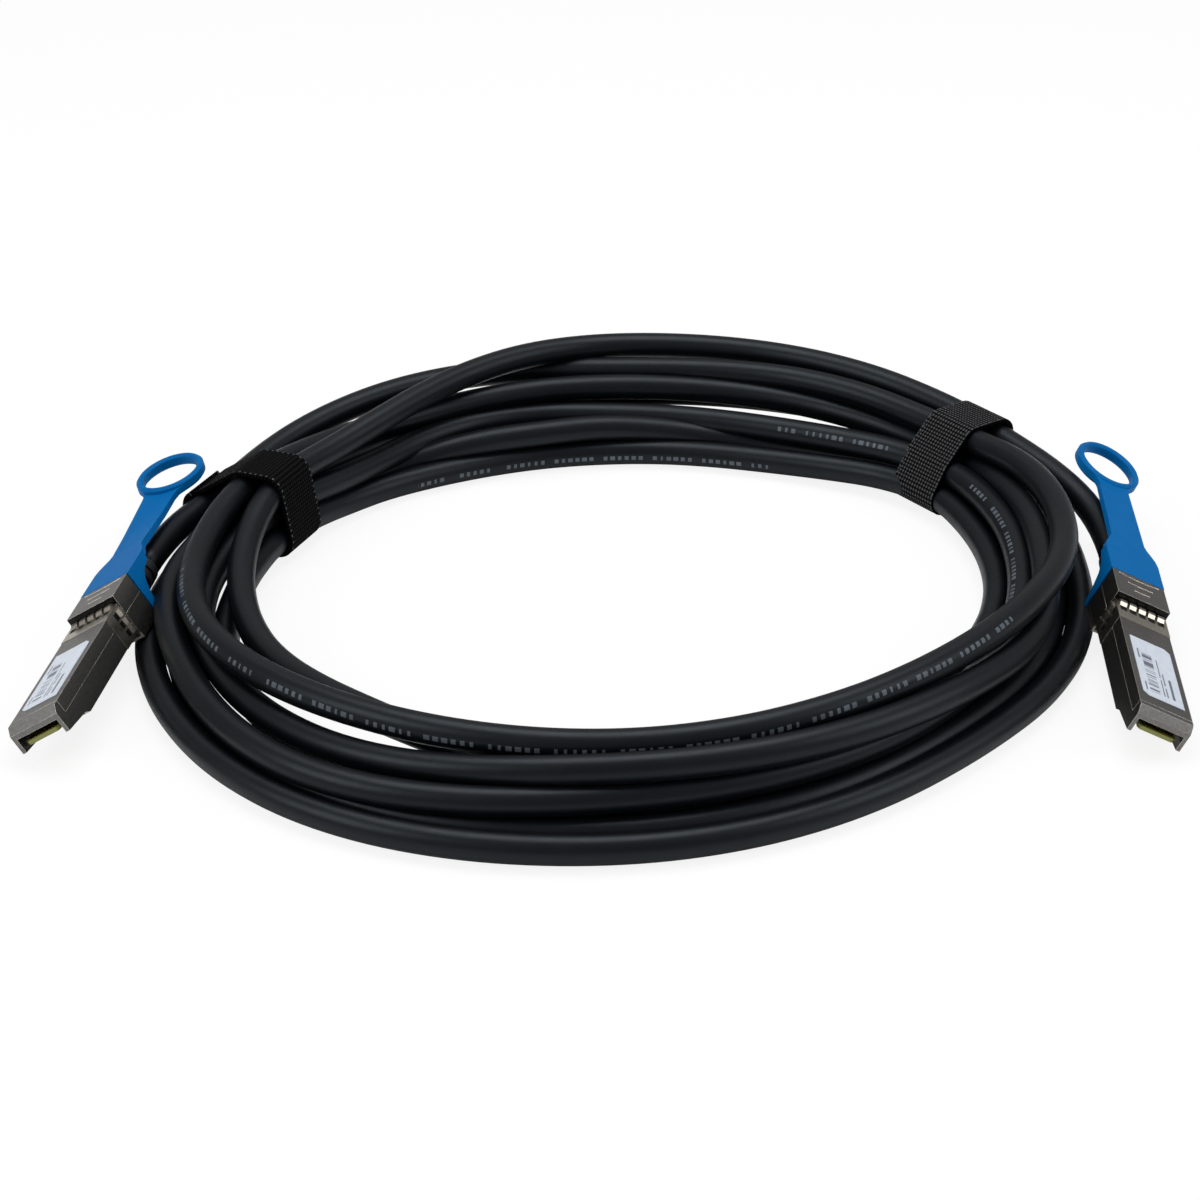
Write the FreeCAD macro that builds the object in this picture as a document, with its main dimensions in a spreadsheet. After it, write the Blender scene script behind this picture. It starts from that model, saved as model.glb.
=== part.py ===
"""Direct attach copper cable: two latching pluggable ends joined by a nominal 5 m of shielded
twin-pair cable, wound into a loose coil and held by two hook-and-loop ties.

Each plug is built in its own frame: X points out of the nose, Y to the plug's left, Z up,
with the origin in the middle of the nose's front edge, level with the underside of the nose.
The whole part stands in a frame with +Z up and its origin on the surface it lies on, below
the middle of the two plugs.
"""
import FreeCAD, Part
import math
import os

import Sketcher

os.makedirs("parts", exist_ok=True)
doc = FreeCAD.newDocument("direct_attach_cable")
V = FreeCAD.Vector

# ----------------------------------------------------------------------------------------
# Driving sizes, millimetres and degrees
# ----------------------------------------------------------------------------------------
SIZES = [
    # plug shell
    ("nose_width", 13.4), ("nose_height", 8.5), ("nose_reach", 47.2),
    ("shell_length", 10.85), ("shell_width", 14.0), ("shell_rise", 2.0), ("shell_drop", 1.95),
    ("wall_side", 1.0), ("wall_roof", 1.0), ("wall_floor", 0.9), ("wall_rear", 2.0),
    ("shell_wall", 1.4), ("split_height", 5.2), ("frame_depth", 3.1), ("lip_bevel", 1.6),
    ("lip_depth", 2.9), ("leg_tip", 2.0), ("leg_heel", 1.0), ("mouth_length", 9.2),
    ("notch_length", 1.8), ("seat_gap", 0.04),
    # groove marks on the shell's roof
    ("groove_radius", 24.0), ("groove_wide", 0.45), ("groove_deep", 0.15),
    ("groove_first", 5.4), ("groove_second", 3.3), ("groove_third", 2.0), ("groove_pitch", 2.9),
    # spring-finger collar
    ("collar_inset", 8.3), ("collar_length", 8.2), ("collar_sheet", 0.2), ("band_length", 3.6),
    ("window_length", 1.9), ("finger_width", 1.8), ("finger_pitch", 2.5), ("finger_rise", 0.75),
    ("side_pitch", 2.4),
    # circuit card and what it carries
    ("card_bottom", 3.0), ("card_thick", 1.0), ("card_front", 0.5), ("card_overhang", 0.5),
    ("card_edge_width", 9.2), ("card_body_width", 10.8), ("card_edge_length", 11.0),
    ("ledge_width", 0.9),
    ("pad_length", 3.4), ("pad_width", 0.5), ("pad_pitch", 0.8), ("pad_thick", 0.06),
    ("chip_size", 3.0), ("chip_height", 0.9), ("chip_front", 18.0),
    ("cap_length", 1.0), ("cap_width", 0.5), ("cap_height", 0.45), ("cap_front", 7.5),
    ("screw_front", 27.0), ("screw_shank", 0.7), ("screw_head", 1.3), ("screw_top", 7.0),
    ("screw_gap", 0.03), ("post_radius", 1.8),
    # latch
    ("pivot_setback", 1.7), ("pivot_height", 1.6), ("pivot_boss", 0.9), ("pin_radius", 0.5),
    ("pin_length", 12.0), ("pin_gap", 0.05), ("lever_width", 4.0), ("beam_bottom", 1.35),
    ("beam_top", 1.95), ("cam_bottom", 0.85), ("cam_rear", 2.2), ("cam_nose", 4.8),
    ("tooth_rear", 8.8), ("tooth_nose", 11.4), ("tooth_drop", 0.75), ("tooth_root", 1.2),
    ("latch_swing", 4.0), ("pull_travel", 1.8), ("slot_width", 4.8), ("slot_nose", 12.3),
    ("slot_rear", 6.8), ("cam_gap", 0.15), ("coil_wire", 0.35),
    # release slider
    ("slider_sheet", 0.6), ("slider_flange", 1.55), ("slider_setback", 0.3),
    ("tongue_width", 3.6), ("tongue_bottom", 0.2), ("tongue_top", 0.55), ("tongue_nose", 7.3),
    ("step_rear", 3.1), ("tab_width", 2.0), ("tab_reach", 1.6), ("tab_centre", 4.4),
    ("slider_gap", 0.05),
    # pull strap
    ("strap_thick", 1.6), ("yoke_width", 14.4), ("yoke_gap", 0.25), ("yoke_length", 10.95),
    ("web_length", 8.0), ("strap_width", 9.2), ("neck_width", 8.2), ("strap_length", 26.5),
    ("leg_thick", 1.3), ("leg_foot", 2.2), ("foot_drop", 2.1), ("foot_height", 1.5),
    ("gusset_length", 11.55),
    ("ring_beyond", 12.1), ("ring_long", 10.7), ("ring_wide", 8.6), ("ring_rim", 1.8),
    ("ring_thick", 2.9), ("ring_bevel", 0.55),
    ("strap_twist_a", -19.0), ("strap_twist_b", 2.0), ("strap_bow_a", 1.4), ("strap_bow_b", 0.0),
    # cable end
    ("cable_diameter", 6.8), ("cable_height", 4.0), ("boot_radius", 4.2), ("boot_tip", 3.8),
    ("boot_length", 18.5), ("boot_flange", 4.4), ("flange_thick", 1.4), ("boot_neck", 3.7),
    ("rib_depth", 0.45), ("rib_width", 1.3), ("rib_pitch", 3.6), ("rib_first", 3.2),
    ("ferrule_radius", 3.3), ("ferrule_wall", 0.4), ("ferrule_setin", 3.75), ("ferrule_length", 2.7),
    ("pair_radius", 1.35), ("pair_centre", 1.4), ("pair_setin", 7.65),
    ("core_radius", 0.45), ("core_reach", 2.6), ("core_pitch", 1.4),
    # label
    ("label_front", 6.6), ("label_length", 25.0), ("label_width", 10.4), ("label_thick", 0.12),
    ("label_corner", 1.3),
    # where the plugs lie
    ("yaw_a", -98.6), ("pitch_a", 1.1), ("roll_a", 32.7), ("place_x_a", -120.04), ("place_y_a", -78.22),
    ("yaw_b", -91.9), ("pitch_b", 2.5), ("roll_b", -25.6), ("place_x_b", 120.99), ("place_y_b", -74.32),
    # coil and ties
    ("coil_x", 3.9), ("coil_y", -5.5), ("coil_radius", 104.0), ("tie_length", 15.0), ("tie_thick", 1.6),
    ("tie_gap", 0.35), ("lean_gap", 0.35), ("tie_angle_left", 157.0), ("tie_angle_right", 36.0),
]

sheet = doc.addObject("Spreadsheet::Sheet", "Sizes")
sheet.Label = "Sizes"
for row, (alias, value) in enumerate(SIZES, start=1):
    sheet.set("A%d" % row, alias)
    sheet.set("B%d" % row, str(value))
    sheet.setAlias("B%d" % row, alias)
doc.recompute()


def size(alias):
    """The number that a cell of the sheet holds."""
    return float(sheet.get(alias))


# Lengths that several pieces share
REAR = "(@nose_reach + @shell_length)"
CAVITY = "(@nose_width - 2*@wall_side)"
# Distances behind the nose's front edge that follow the cage stop or the shell's rear
BEHIND = {
    "collar_front": "@nose_reach - @collar_inset",
    "card_length": "@nose_reach + @card_overhang - @card_front",
    "pivot_back": "@nose_reach + @pivot_setback",
    "cam_back": "@nose_reach - @cam_rear", "cam_front": "@nose_reach - @cam_nose",
    "tooth_back": "@nose_reach - @tooth_rear", "tooth_front": "@nose_reach - @tooth_nose",
    "slot_back": "@nose_reach + @slot_rear", "slot_front": "@nose_reach - @slot_nose",
    "slider_front": "@nose_reach + @slider_setback",
    "tongue_front": "@nose_reach - @tongue_nose", "step_back": "@nose_reach + @step_rear",
    "yoke_shoulder": REAR + " + @yoke_length", "gusset_back": REAR + " + @gusset_length",
    "strap_start": REAR + " + @yoke_length + @web_length",
    "neck_back": REAR + " + @yoke_length + @web_length + @strap_length",
    "ring_back": REAR + " + @yoke_length + @web_length + @strap_length + @ring_beyond",
    "ferrule_back": REAR + " - @ferrule_setin",
    "ferrule_front": REAR + " - @ferrule_setin - @ferrule_length",
    "pair_front": REAR + " - @pair_setin", "core_front": "@nose_reach - @core_reach",
}


def cell(text):
    """Write out the distances that follow others, then point each alias at the sheet."""
    for name, rule in BEHIND.items():
        text = text.replace("@" + name, "(%s)" % rule)
    return text.replace("@", "Sizes.")


# ----------------------------------------------------------------------------------------
# Modelling helpers
# ----------------------------------------------------------------------------------------
def origin_plane(body, role):
    for feature in body.Origin.OriginFeatures:
        if feature.Role == role:
            return feature


def new_body(name):
    return doc.addObject("PartDesign::Body", name)


def new_sketch(body, role, shift=None, turn=None):
    """A sketch on one of the body's own origin planes, shifted along its normal."""
    sketch = body.newObject("Sketcher::SketchObject", body.Name + "_sketch")
    sketch.AttachmentSupport = [(origin_plane(body, role), "")]
    sketch.MapMode = "FlatFace"
    if shift:
        sketch.setExpression("AttachmentOffset.Base.z", cell(shift))
    if turn:
        sketch.setExpression("AttachmentOffset.Rotation.Angle", cell(turn))
    return sketch


def draw_polygon(sketch, corners):
    """A closed outline; each corner is a pair of expressions that places it from the origin."""
    first = sketch.GeometryCount
    count = len(corners)
    for number in range(count):
        start, end = (2 * math.pi * (number + k) / count for k in (0, 1))
        sketch.addGeometry(Part.LineSegment(V(math.cos(start), math.sin(start), 0),
                                            V(math.cos(end), math.sin(end), 0)), False)
    for number in range(count):
        sketch.addConstraint(Sketcher.Constraint("Coincident", first + number, 2,
                                                 first + (number + 1) % count, 1))
    for number, (across, along) in enumerate(corners):
        for kind, text in (("DistanceX", across), ("DistanceY", along)):
            index = sketch.addConstraint(Sketcher.Constraint(kind, -1, 1, first + number, 1, 0.5))
            sketch.setExpression("Constraints[%d]" % index, cell(text))


def draw_rectangle(sketch, left, right, low, high):
    draw_polygon(sketch, [(left, low), (right, low), (right, high), (left, high)])


def draw_circle(sketch, across, along, radius):
    item = sketch.addGeometry(Part.Circle(V(0, 0, 0), V(0, 0, 1), 1.0), False)
    for kind, text in (("DistanceX", across), ("DistanceY", along)):
        index = sketch.addConstraint(Sketcher.Constraint(kind, -1, 1, item, 3, 0.5))
        sketch.setExpression("Constraints[%d]" % index, cell(text))
    index = sketch.addConstraint(Sketcher.Constraint("Radius", item, 1.0))
    sketch.setExpression("Constraints[%d]" % index, cell(radius))


def pad(body, sketch, length, symmetric=False, backward=False):
    feature = body.newObject("PartDesign::Pad", body.Name + "_pad")
    feature.Profile = sketch
    feature.setExpression("Length", cell(length))
    feature.SideType = "Symmetric" if symmetric else "One side"
    feature.Reversed = backward
    return feature


def pocket(body, sketch, length, symmetric=False, backward=False):
    feature = body.newObject("PartDesign::Pocket", body.Name + "_pocket")
    feature.Profile = sketch
    feature.setExpression("Length", cell(length))
    feature.SideType = "Symmetric" if symmetric else "One side"
    feature.Reversed = backward
    return feature


def side_pad(body, corners, width):
    """A side-view outline padded evenly both ways across the plug."""
    sketch = new_sketch(body, "XZ_Plane")
    draw_polygon(sketch, corners)
    return pad(body, sketch, width, symmetric=True)


def side_pocket(body, corners, width):
    sketch = new_sketch(body, "XZ_Plane")
    draw_polygon(sketch, corners)
    return pocket(body, sketch, width, symmetric=True)


def box_corners(back, front, low, high):
    return [(back, low), (front, low), (front, high), (back, high)]


def revolve(body, corners, height, cut=False):
    """Turn a side-view outline (length, radius) about the cable's axis."""
    sketch = new_sketch(body, "XZ_Plane")
    draw_polygon(sketch, [(along, "(%s) + (%s)" % (height, radius)) for along, radius in corners])
    line = sketch.addGeometry(Part.LineSegment(V(-1, 0, 0), V(1, 0, 0)), True)
    for point, across in ((1, "-60"), (2, "-10")):
        for kind, text in (("DistanceX", across), ("DistanceY", height)):
            index = sketch.addConstraint(Sketcher.Constraint(kind, -1, 1, line, point, 0.5))
            sketch.setExpression("Constraints[%d]" % index, cell(text))
    kind = "PartDesign::Groove" if cut else "PartDesign::Revolution"
    feature = body.newObject(kind, body.Name + "_turned")
    feature.Profile = sketch
    feature.ReferenceAxis = (sketch, ["Axis0"])
    feature.Angle = 360.0
    return feature


def block(name, length, width, height, x, y, z):
    """A plain box with every size and its corner bound to the sheet."""
    item = doc.addObject("Part::Box", name)
    for prop, text in (("Length", length), ("Width", width), ("Height", height),
                       ("Placement.Base.x", x), ("Placement.Base.y", y), ("Placement.Base.z", z)):
        item.setExpression(prop, cell(text))
    return item


def rod(name, radius, length, x, y, z, direction):
    """A round bar that starts at a point and runs along X, Y or Z."""
    item = doc.addObject("Part::Cylinder", name)
    turns = {"X": FreeCAD.Rotation(V(0, 1, 0), 90), "Y": FreeCAD.Rotation(V(1, 0, 0), -90),
             "Z": FreeCAD.Rotation()}
    item.Placement = FreeCAD.Placement(V(0, 0, 0), turns[direction])
    for prop, text in (("Radius", radius), ("Height", length), ("Placement.Base.x", x),
                       ("Placement.Base.y", y), ("Placement.Base.z", z)):
        item.setExpression(prop, cell(text))
    return item


def group(name, items):
    item = doc.addObject("Part::Compound", name)
    item.Links = items
    return item


def fuse(name, items):
    item = doc.addObject("Part::MultiFuse", name)
    item.Shapes = items
    return item


def cut(name, base, tool):
    item = doc.addObject("Part::Cut", name)
    item.Base = base
    item.Tool = tool
    return item


def signed(side, text):
    """The same expression on the plug's left (+1) or right (-1)."""
    return "(%s)" % text if side > 0 else "-(%s)" % text


# ----------------------------------------------------------------------------------------
# Plug pieces
# ----------------------------------------------------------------------------------------
def lower_housing(tag):
    """Die-cast tray: floor, side walls up to the parting line and the framed mouth."""
    body = new_body("lower_housing" + tag)
    # nose up to the parting line, then the full-height front frame with its bevelled lip
    side_pad(body, [("-@nose_reach", "0"), ("-@mouth_length - @notch_length", "0"),
                    ("-@mouth_length", "@leg_heel"), ("0", "@leg_tip"),
                    ("0", "@nose_height - @lip_bevel"), ("-@lip_bevel", "@nose_height"),
                    ("-@frame_depth", "@nose_height"), ("-@frame_depth", "@split_height"),
                    ("-@nose_reach", "@split_height")], "@nose_width")
    # wider shell behind the cage stop, its foot narrowed for the release slider
    side_pad(body, box_corners("-%s" % REAR, "-@nose_reach", "@slider_flange - @shell_drop",
                               "@split_height"), "@shell_width")
    side_pad(body, box_corners("-%s" % REAR, "-@nose_reach",
                               "@slider_sheet + @slider_gap - @shell_drop",
                               "@slider_flange - @shell_drop"),
             "@shell_width - 2*(@slider_sheet + @slider_gap)")
    # relief all round the nose for the finger collar
    side_pocket(body, box_corners("-@nose_reach", "-@collar_front", "-0.1", "@collar_sheet/2"),
                "@nose_width + 1")
    for side in (1, -1):
        sketch = new_sketch(body, "XZ_Plane", signed(-side, "@nose_width/2 - @collar_sheet/2"))
        draw_polygon(sketch, box_corners("-@nose_reach", "-@collar_front", "-0.1",
                                         "@split_height + 0.1"))
        pocket(body, sketch, "@collar_sheet", backward=(side < 0))
    # card bay: narrow between the ledges, full width above them
    side_pocket(body, box_corners("-@nose_reach - 0.5", "-@mouth_length - @notch_length",
                                  "@wall_floor", "@card_bottom"),
                CAVITY + " - 2*@ledge_width")
    side_pocket(body, box_corners("-@nose_reach - 0.5", "-@frame_depth", "@card_bottom",
                                  "@split_height + 0.1"), CAVITY)
    # open mouth below the lip and between the legs
    side_pocket(body, box_corners("-@mouth_length - @notch_length", "0.1", "-0.1",
                                  "@nose_height - @lip_depth"), CAVITY)
    # wiring bay in the shell
    side_pocket(body, box_corners("-%s + @wall_rear" % REAR, "-@nose_reach - 0.4",
                                  "0.45", "@split_height + 0.1"),
                "@shell_width - 2*@shell_wall")
    side_pocket(body, box_corners("-%s + @wall_rear" % REAR,
                                  "-%s + @wall_rear + @flange_thick + 3*@seat_gap" % REAR,
                                  "@cable_height - @boot_flange - 2*@seat_gap",
                                  "@split_height + 0.1"), "@shell_width - 2*@shell_wall")
    # channel for the latch lever and the slider's tongue
    side_pocket(body, box_corners("-@slot_back", "-@slot_front", "-@shell_drop - 0.1",
                                  "@wall_floor + 0.1"), "@slot_width")
    # pivot holes
    sketch = new_sketch(body, "XZ_Plane")
    draw_circle(sketch, "-@pivot_back", "@pivot_height", "@pin_radius + @seat_gap")
    pocket(body, sketch, "@pin_length + 2*@seat_gap", symmetric=True)
    # half of the cable hole in the rear wall
    sketch = new_sketch(body, "YZ_Plane", "-%s - 0.1" % REAR)
    draw_circle(sketch, "0", "@cable_height", "@boot_neck + @seat_gap")
    pocket(body, sketch, "@wall_rear + 0.2", backward=True)
    # screw post under the card, with a countersink
    sketch = new_sketch(body, "XY_Plane", "@wall_floor")
    draw_circle(sketch, "-@screw_front", "0", "@post_radius")
    pad(body, sketch, "@card_bottom - @wall_floor")
    sketch = new_sketch(body, "XY_Plane")
    draw_circle(sketch, "-@screw_front", "0", "@screw_shank + @screw_gap")
    pocket(body, sketch, "@card_bottom + 0.1", backward=True)
    sketch = new_sketch(body, "XY_Plane")
    draw_circle(sketch, "-@screw_front", "0", "@screw_head + @screw_gap")
    pocket(body, sketch, "@wall_floor - 0.3", backward=True)
    return body


def top_cover(tag):
    """Cast lid of the nose and shell with a short skirt down to the parting line."""
    body = new_body("top_cover_body" + tag)
    side_pad(body, box_corners("-@nose_reach", "-@frame_depth - @seat_gap",
                               "@split_height + @seat_gap", "@nose_height"), "@nose_width")
    side_pad(body, box_corners("-%s" % REAR, "-@nose_reach", "@split_height + @seat_gap",
                               "@nose_height + @shell_rise"), "@shell_width")
    side_pocket(body, box_corners("-@nose_reach", "-@collar_front",
                                  "@nose_height - @collar_sheet/2", "@nose_height + 0.1"),
                "@nose_width + 1")
    for side in (1, -1):
        sketch = new_sketch(body, "XZ_Plane", signed(-side, "@nose_width/2 - @collar_sheet/2"))
        draw_polygon(sketch, box_corners("-@nose_reach", "-@collar_front", "@split_height - 0.1",
                                         "@nose_height + 0.1"))
        pocket(body, sketch, "@collar_sheet", backward=(side < 0))
    side_pocket(body, box_corners("-@nose_reach - 0.5", "-@frame_depth + 0.1",
                                  "@split_height - 0.1", "@nose_height - @wall_roof"), CAVITY)
    side_pocket(body, box_corners("-%s + @wall_rear" % REAR, "-@nose_reach - 0.4",
                                  "@split_height - 0.1", "@nose_height + @shell_rise - @wall_roof"),
                "@shell_width - 2*@shell_wall")
    sketch = new_sketch(body, "YZ_Plane", "-%s - 0.1" % REAR)
    draw_circle(sketch, "0", "@cable_height", "@boot_neck + @seat_gap")
    pocket(body, sketch, "@wall_rear + 0.2", backward=True)
    # threaded post that the screw pulls on
    sketch = new_sketch(body, "XY_Plane", "@card_bottom + @card_thick + @seat_gap")
    draw_circle(sketch, "-@screw_front", "0", "@post_radius")
    pad(body, sketch, "@nose_height - @card_bottom - @card_thick - @wall_roof/2")
    sketch = new_sketch(body, "XY_Plane")
    draw_circle(sketch, "-@screw_front", "0", "@screw_shank + @screw_gap")
    pocket(body, sketch, "@screw_top + 0.2", backward=True)
    # three shallow curved grooves across the shell's roof, shorter towards the nose
    grooves = []
    for number, reach in enumerate(("@groove_first", "@groove_second", "@groove_third")):
        middle = "%s - 1.5 - %d*@groove_pitch" % (REAR, number)
        rings = []
        for edge in ("+", "-"):
            rings.append(rod("groove_disc%s_%d%s" % (tag, number, "po"[edge == "-"]),
                             "@groove_radius %s @groove_wide/2" % edge, "1",
                             "-(%s) - @groove_radius" % middle, "0",
                             "@nose_height + @shell_rise - @groove_deep", "Z"))
        ring = cut("groove_ring%s_%d" % (tag, number), rings[0], rings[1])
        window = block("groove_window%s_%d" % (tag, number), "4", "2*(%s)" % reach, "2",
                       "-(%s) - 3.5" % middle, "-(%s)" % reach, "@nose_height")
        arc = doc.addObject("Part::Common", "groove_arc%s_%d" % (tag, number))
        arc.Base = ring
        arc.Tool = window
        grooves.append(arc)
    return cut("top_cover" + tag, body, fuse("grooves" + tag, grooves))


def emi_collar(tag):
    """Sheet-metal band round the nose with windows and bowed spring fingers."""
    body = new_body("emi_collar" + tag)
    back = "-@collar_front - @collar_length"
    half = "(@nose_width/2 + @collar_sheet/2)"
    low = "-@collar_sheet/2"
    high = "(@nose_height + @collar_sheet/2)"
    sketch = new_sketch(body, "YZ_Plane", back)
    draw_rectangle(sketch, "-" + half, half, low, high)
    draw_rectangle(sketch, "-%s + @collar_sheet" % half, "%s - @collar_sheet" % half,
                   low + " + @collar_sheet", high + " - @collar_sheet")
    pad(body, sketch, "@collar_length")
    front = "-@collar_front - @band_length"
    # windows, then fingers: five above and below, three on each side
    sketch = new_sketch(body, "XY_Plane")
    for number in range(-2, 3):
        middle = "%d*@finger_pitch" % number
        draw_rectangle(sketch, front + " - @window_length", front,
                       middle + " - @finger_width/2", middle + " + @finger_width/2")
    pocket(body, sketch, "3*@nose_height", symmetric=True)
    sketch = new_sketch(body, "XZ_Plane")
    for number in range(-1, 2):
        middle = "@nose_height/2 + %d*@side_pitch" % number
        draw_rectangle(sketch, front + " - @window_length", front,
                       middle + " - @finger_width/2", middle + " + @finger_width/2")
    pocket(body, sketch, "3*@nose_width", symmetric=True)
    start = front + " - @window_length"
    rise = [(back, "0"), (back + " + 0.3", "@finger_rise*0.6"),
            (back + " + 1.0", "@finger_rise"), (start + " - 0.8", "@finger_rise*0.85"),
            (start, "0")]
    for number in range(-2, 3):
        for face, base in ((1, high), (-1, low)):
            if face < 0 and abs(number) < 2:
                continue
            sketch = new_sketch(body, "XZ_Plane", "-(%d*@finger_pitch)" % number)
            draw_polygon(sketch, [(x, "%s %s (%s)" % (base, "+" if face > 0 else "-", z))
                                  for x, z in rise])
            pad(body, sketch, "@finger_width", symmetric=True)
    for number in range(-1, 2):
        for side in (1, -1):
            sketch = new_sketch(body, "XY_Plane", "@nose_height/2 + %d*@side_pitch" % number)
            draw_polygon(sketch, [(x, signed(side, "%s + %s" % (half, y))) for x, y in rise])
            pad(body, sketch, "@finger_width", symmetric=True)
    return body


def circuit_card(tag):
    """Card that slides into the host's connector, wider behind its contact edge."""
    body = new_body("circuit_card" + tag)
    edge, wide = "@card_edge_width/2", "@card_body_width/2"
    front, back = "-@card_front", "-@card_front - @card_length"
    shoulder = "-@card_edge_length"
    sketch = new_sketch(body, "XY_Plane", "@card_bottom")
    draw_polygon(sketch, [(back, "-" + wide), (shoulder, "-" + wide), (shoulder, "-" + edge),
                          (front + " - 0.6", "-" + edge), (front, "-%s + 0.6" % edge),
                          (front, edge + " - 0.6"), (front + " - 0.6", edge),
                          (shoulder, edge), (shoulder, wide), (back, wide)])
    pad(body, sketch, "@card_thick")
    sketch = new_sketch(body, "XY_Plane")
    draw_circle(sketch, "-@screw_front", "0", "@screw_shank + 0.2")
    pocket(body, sketch, "@nose_height", backward=True)
    return body


def contact_pads(tag):
    """Ten gold pads on each face of the card's edge."""
    pads = []
    for face, base in ((0, "@card_bottom + @card_thick"), (1, "@card_bottom - @pad_thick")):
        for number in range(10):
            pads.append(block("pad%s_%d_%d" % (tag, face, number), "@pad_length", "@pad_width",
                              "@pad_thick", "-@card_front - 0.5 - @pad_length",
                              "%s*@pad_pitch - @pad_width/2" % (number - 4.5), base))
    return group("contact_pads" + tag, pads)


def memory_chip(tag):
    """Identification memory in a square package with bevelled upper edges."""
    body = new_body("memory_chip" + tag)
    sketch = new_sketch(body, "XY_Plane", "@card_bottom + @card_thick")
    draw_rectangle(sketch, "-@chip_front - @chip_size", "-@chip_front", "-@chip_size/2",
                   "@chip_size/2")
    item = pad(body, sketch, "@chip_height")
    doc.recompute()
    bevel = body.newObject("PartDesign::Chamfer", body.Name + "_bevel")
    top = [name for name, edge in edges_of(item)
           if edge.BoundBox.ZMin > item.Shape.BoundBox.ZMax - 1e-4]
    bevel.Base = (item, top)
    bevel.setExpression("Size", cell("@chip_height/5"))
    return body


def edges_of(item):
    return [("Edge%d" % number, edge) for number, edge in enumerate(item.Shape.Edges, start=1)]


def coupling_capacitors(tag):
    """Four small blocks that couple the two pairs to the contacts."""
    items = [block("capacitor%s_%d" % (tag, number), "@cap_length", "@cap_width", "@cap_height",
                   "-@cap_front - @cap_length", "%s*@core_pitch - @cap_width/2" % (number - 1.5),
                   "@card_bottom + @card_thick") for number in range(4)]
    return group("coupling_capacitors" + tag, items)


def cover_screw(tag):
    """Countersunk screw from the floor, through the card, into the cover's post."""
    body = new_body("cover_screw" + tag)
    sketch = new_sketch(body, "XY_Plane", "0.05")
    draw_circle(sketch, "-@screw_front", "0", "@screw_head")
    pad(body, sketch, "@wall_floor - 0.35")
    sketch = new_sketch(body, "XY_Plane", "0.05")
    draw_circle(sketch, "-@screw_front", "0", "@screw_shank")
    pad(body, sketch, "@screw_top - 0.05")
    # cross recess
    for corners in (("0.18", "0.8"), ("0.8", "0.18")):
        sketch = new_sketch(body, "XY_Plane")
        draw_rectangle(sketch, "-@screw_front - " + corners[0], "-@screw_front + " + corners[0],
                       "-" + corners[1], corners[1])
        pocket(body, sketch, "0.35", backward=True)
    return body


def latch_lever(tag):
    """Stamped lever with the cam that the slider lifts and the tooth that locks in the cage."""
    body = new_body("latch_lever" + tag)
    slope = "(@latch_swing*pi/180*(@pivot_back - @cam_front)/@pull_travel)"
    cam_end = "-@cam_front + (@beam_bottom - @cam_bottom)/%s" % slope
    side_pad(body, [("-@pivot_back", "@pivot_height - @pivot_boss"),
                    ("-@pivot_back + @pivot_boss*0.7", "@pivot_height - @pivot_boss*0.7"),
                    ("-@cam_back - 0.3", "@beam_bottom"), ("-@cam_back", "@cam_bottom"),
                    ("-@cam_front", "@cam_bottom"), (cam_end, "@beam_bottom"),
                    ("-@tooth_back", "@beam_bottom"), ("-@tooth_front", "@beam_bottom"),
                    ("-@tooth_front", "@beam_top"),
                    ("-@pivot_back + @pivot_boss", "@beam_top"),
                    ("-@pivot_back + @pivot_boss*0.7", "@pivot_height + @pivot_boss*0.7"),
                    ("-@pivot_back", "@pivot_height + @pivot_boss"),
                    ("-@pivot_back - @pivot_boss*0.7", "@pivot_height + @pivot_boss*0.7"),
                    ("-@pivot_back - @pivot_boss", "@pivot_height"),
                    ("-@pivot_back - @pivot_boss*0.7", "@pivot_height - @pivot_boss*0.7")],
             "@lever_width")
    # triangular tooth: square rear face that locks, two faces that meet in front
    sketch = new_sketch(body, "XY_Plane", "-@tooth_drop")
    draw_polygon(sketch, [("-@tooth_back", "-@lever_width/2"), ("-@tooth_front", "-0.3"),
                          ("-@tooth_front", "0.3"), ("-@tooth_back", "@lever_width/2")])
    pad(body, sketch, "@tooth_drop + @beam_bottom + 0.1")
    sketch = new_sketch(body, "XZ_Plane")
    draw_circle(sketch, "-@pivot_back", "@pivot_height", "@pin_radius + @pin_gap")
    pocket(body, sketch, "@lever_width + 1", symmetric=True)
    return body


def latch_pin(tag):
    return group("latch_pin" + tag, [rod("pin_rod" + tag, "@pin_radius", "@pin_length",
                                         "-@pivot_back", "-@pin_length/2", "@pivot_height", "Y")])


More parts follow.
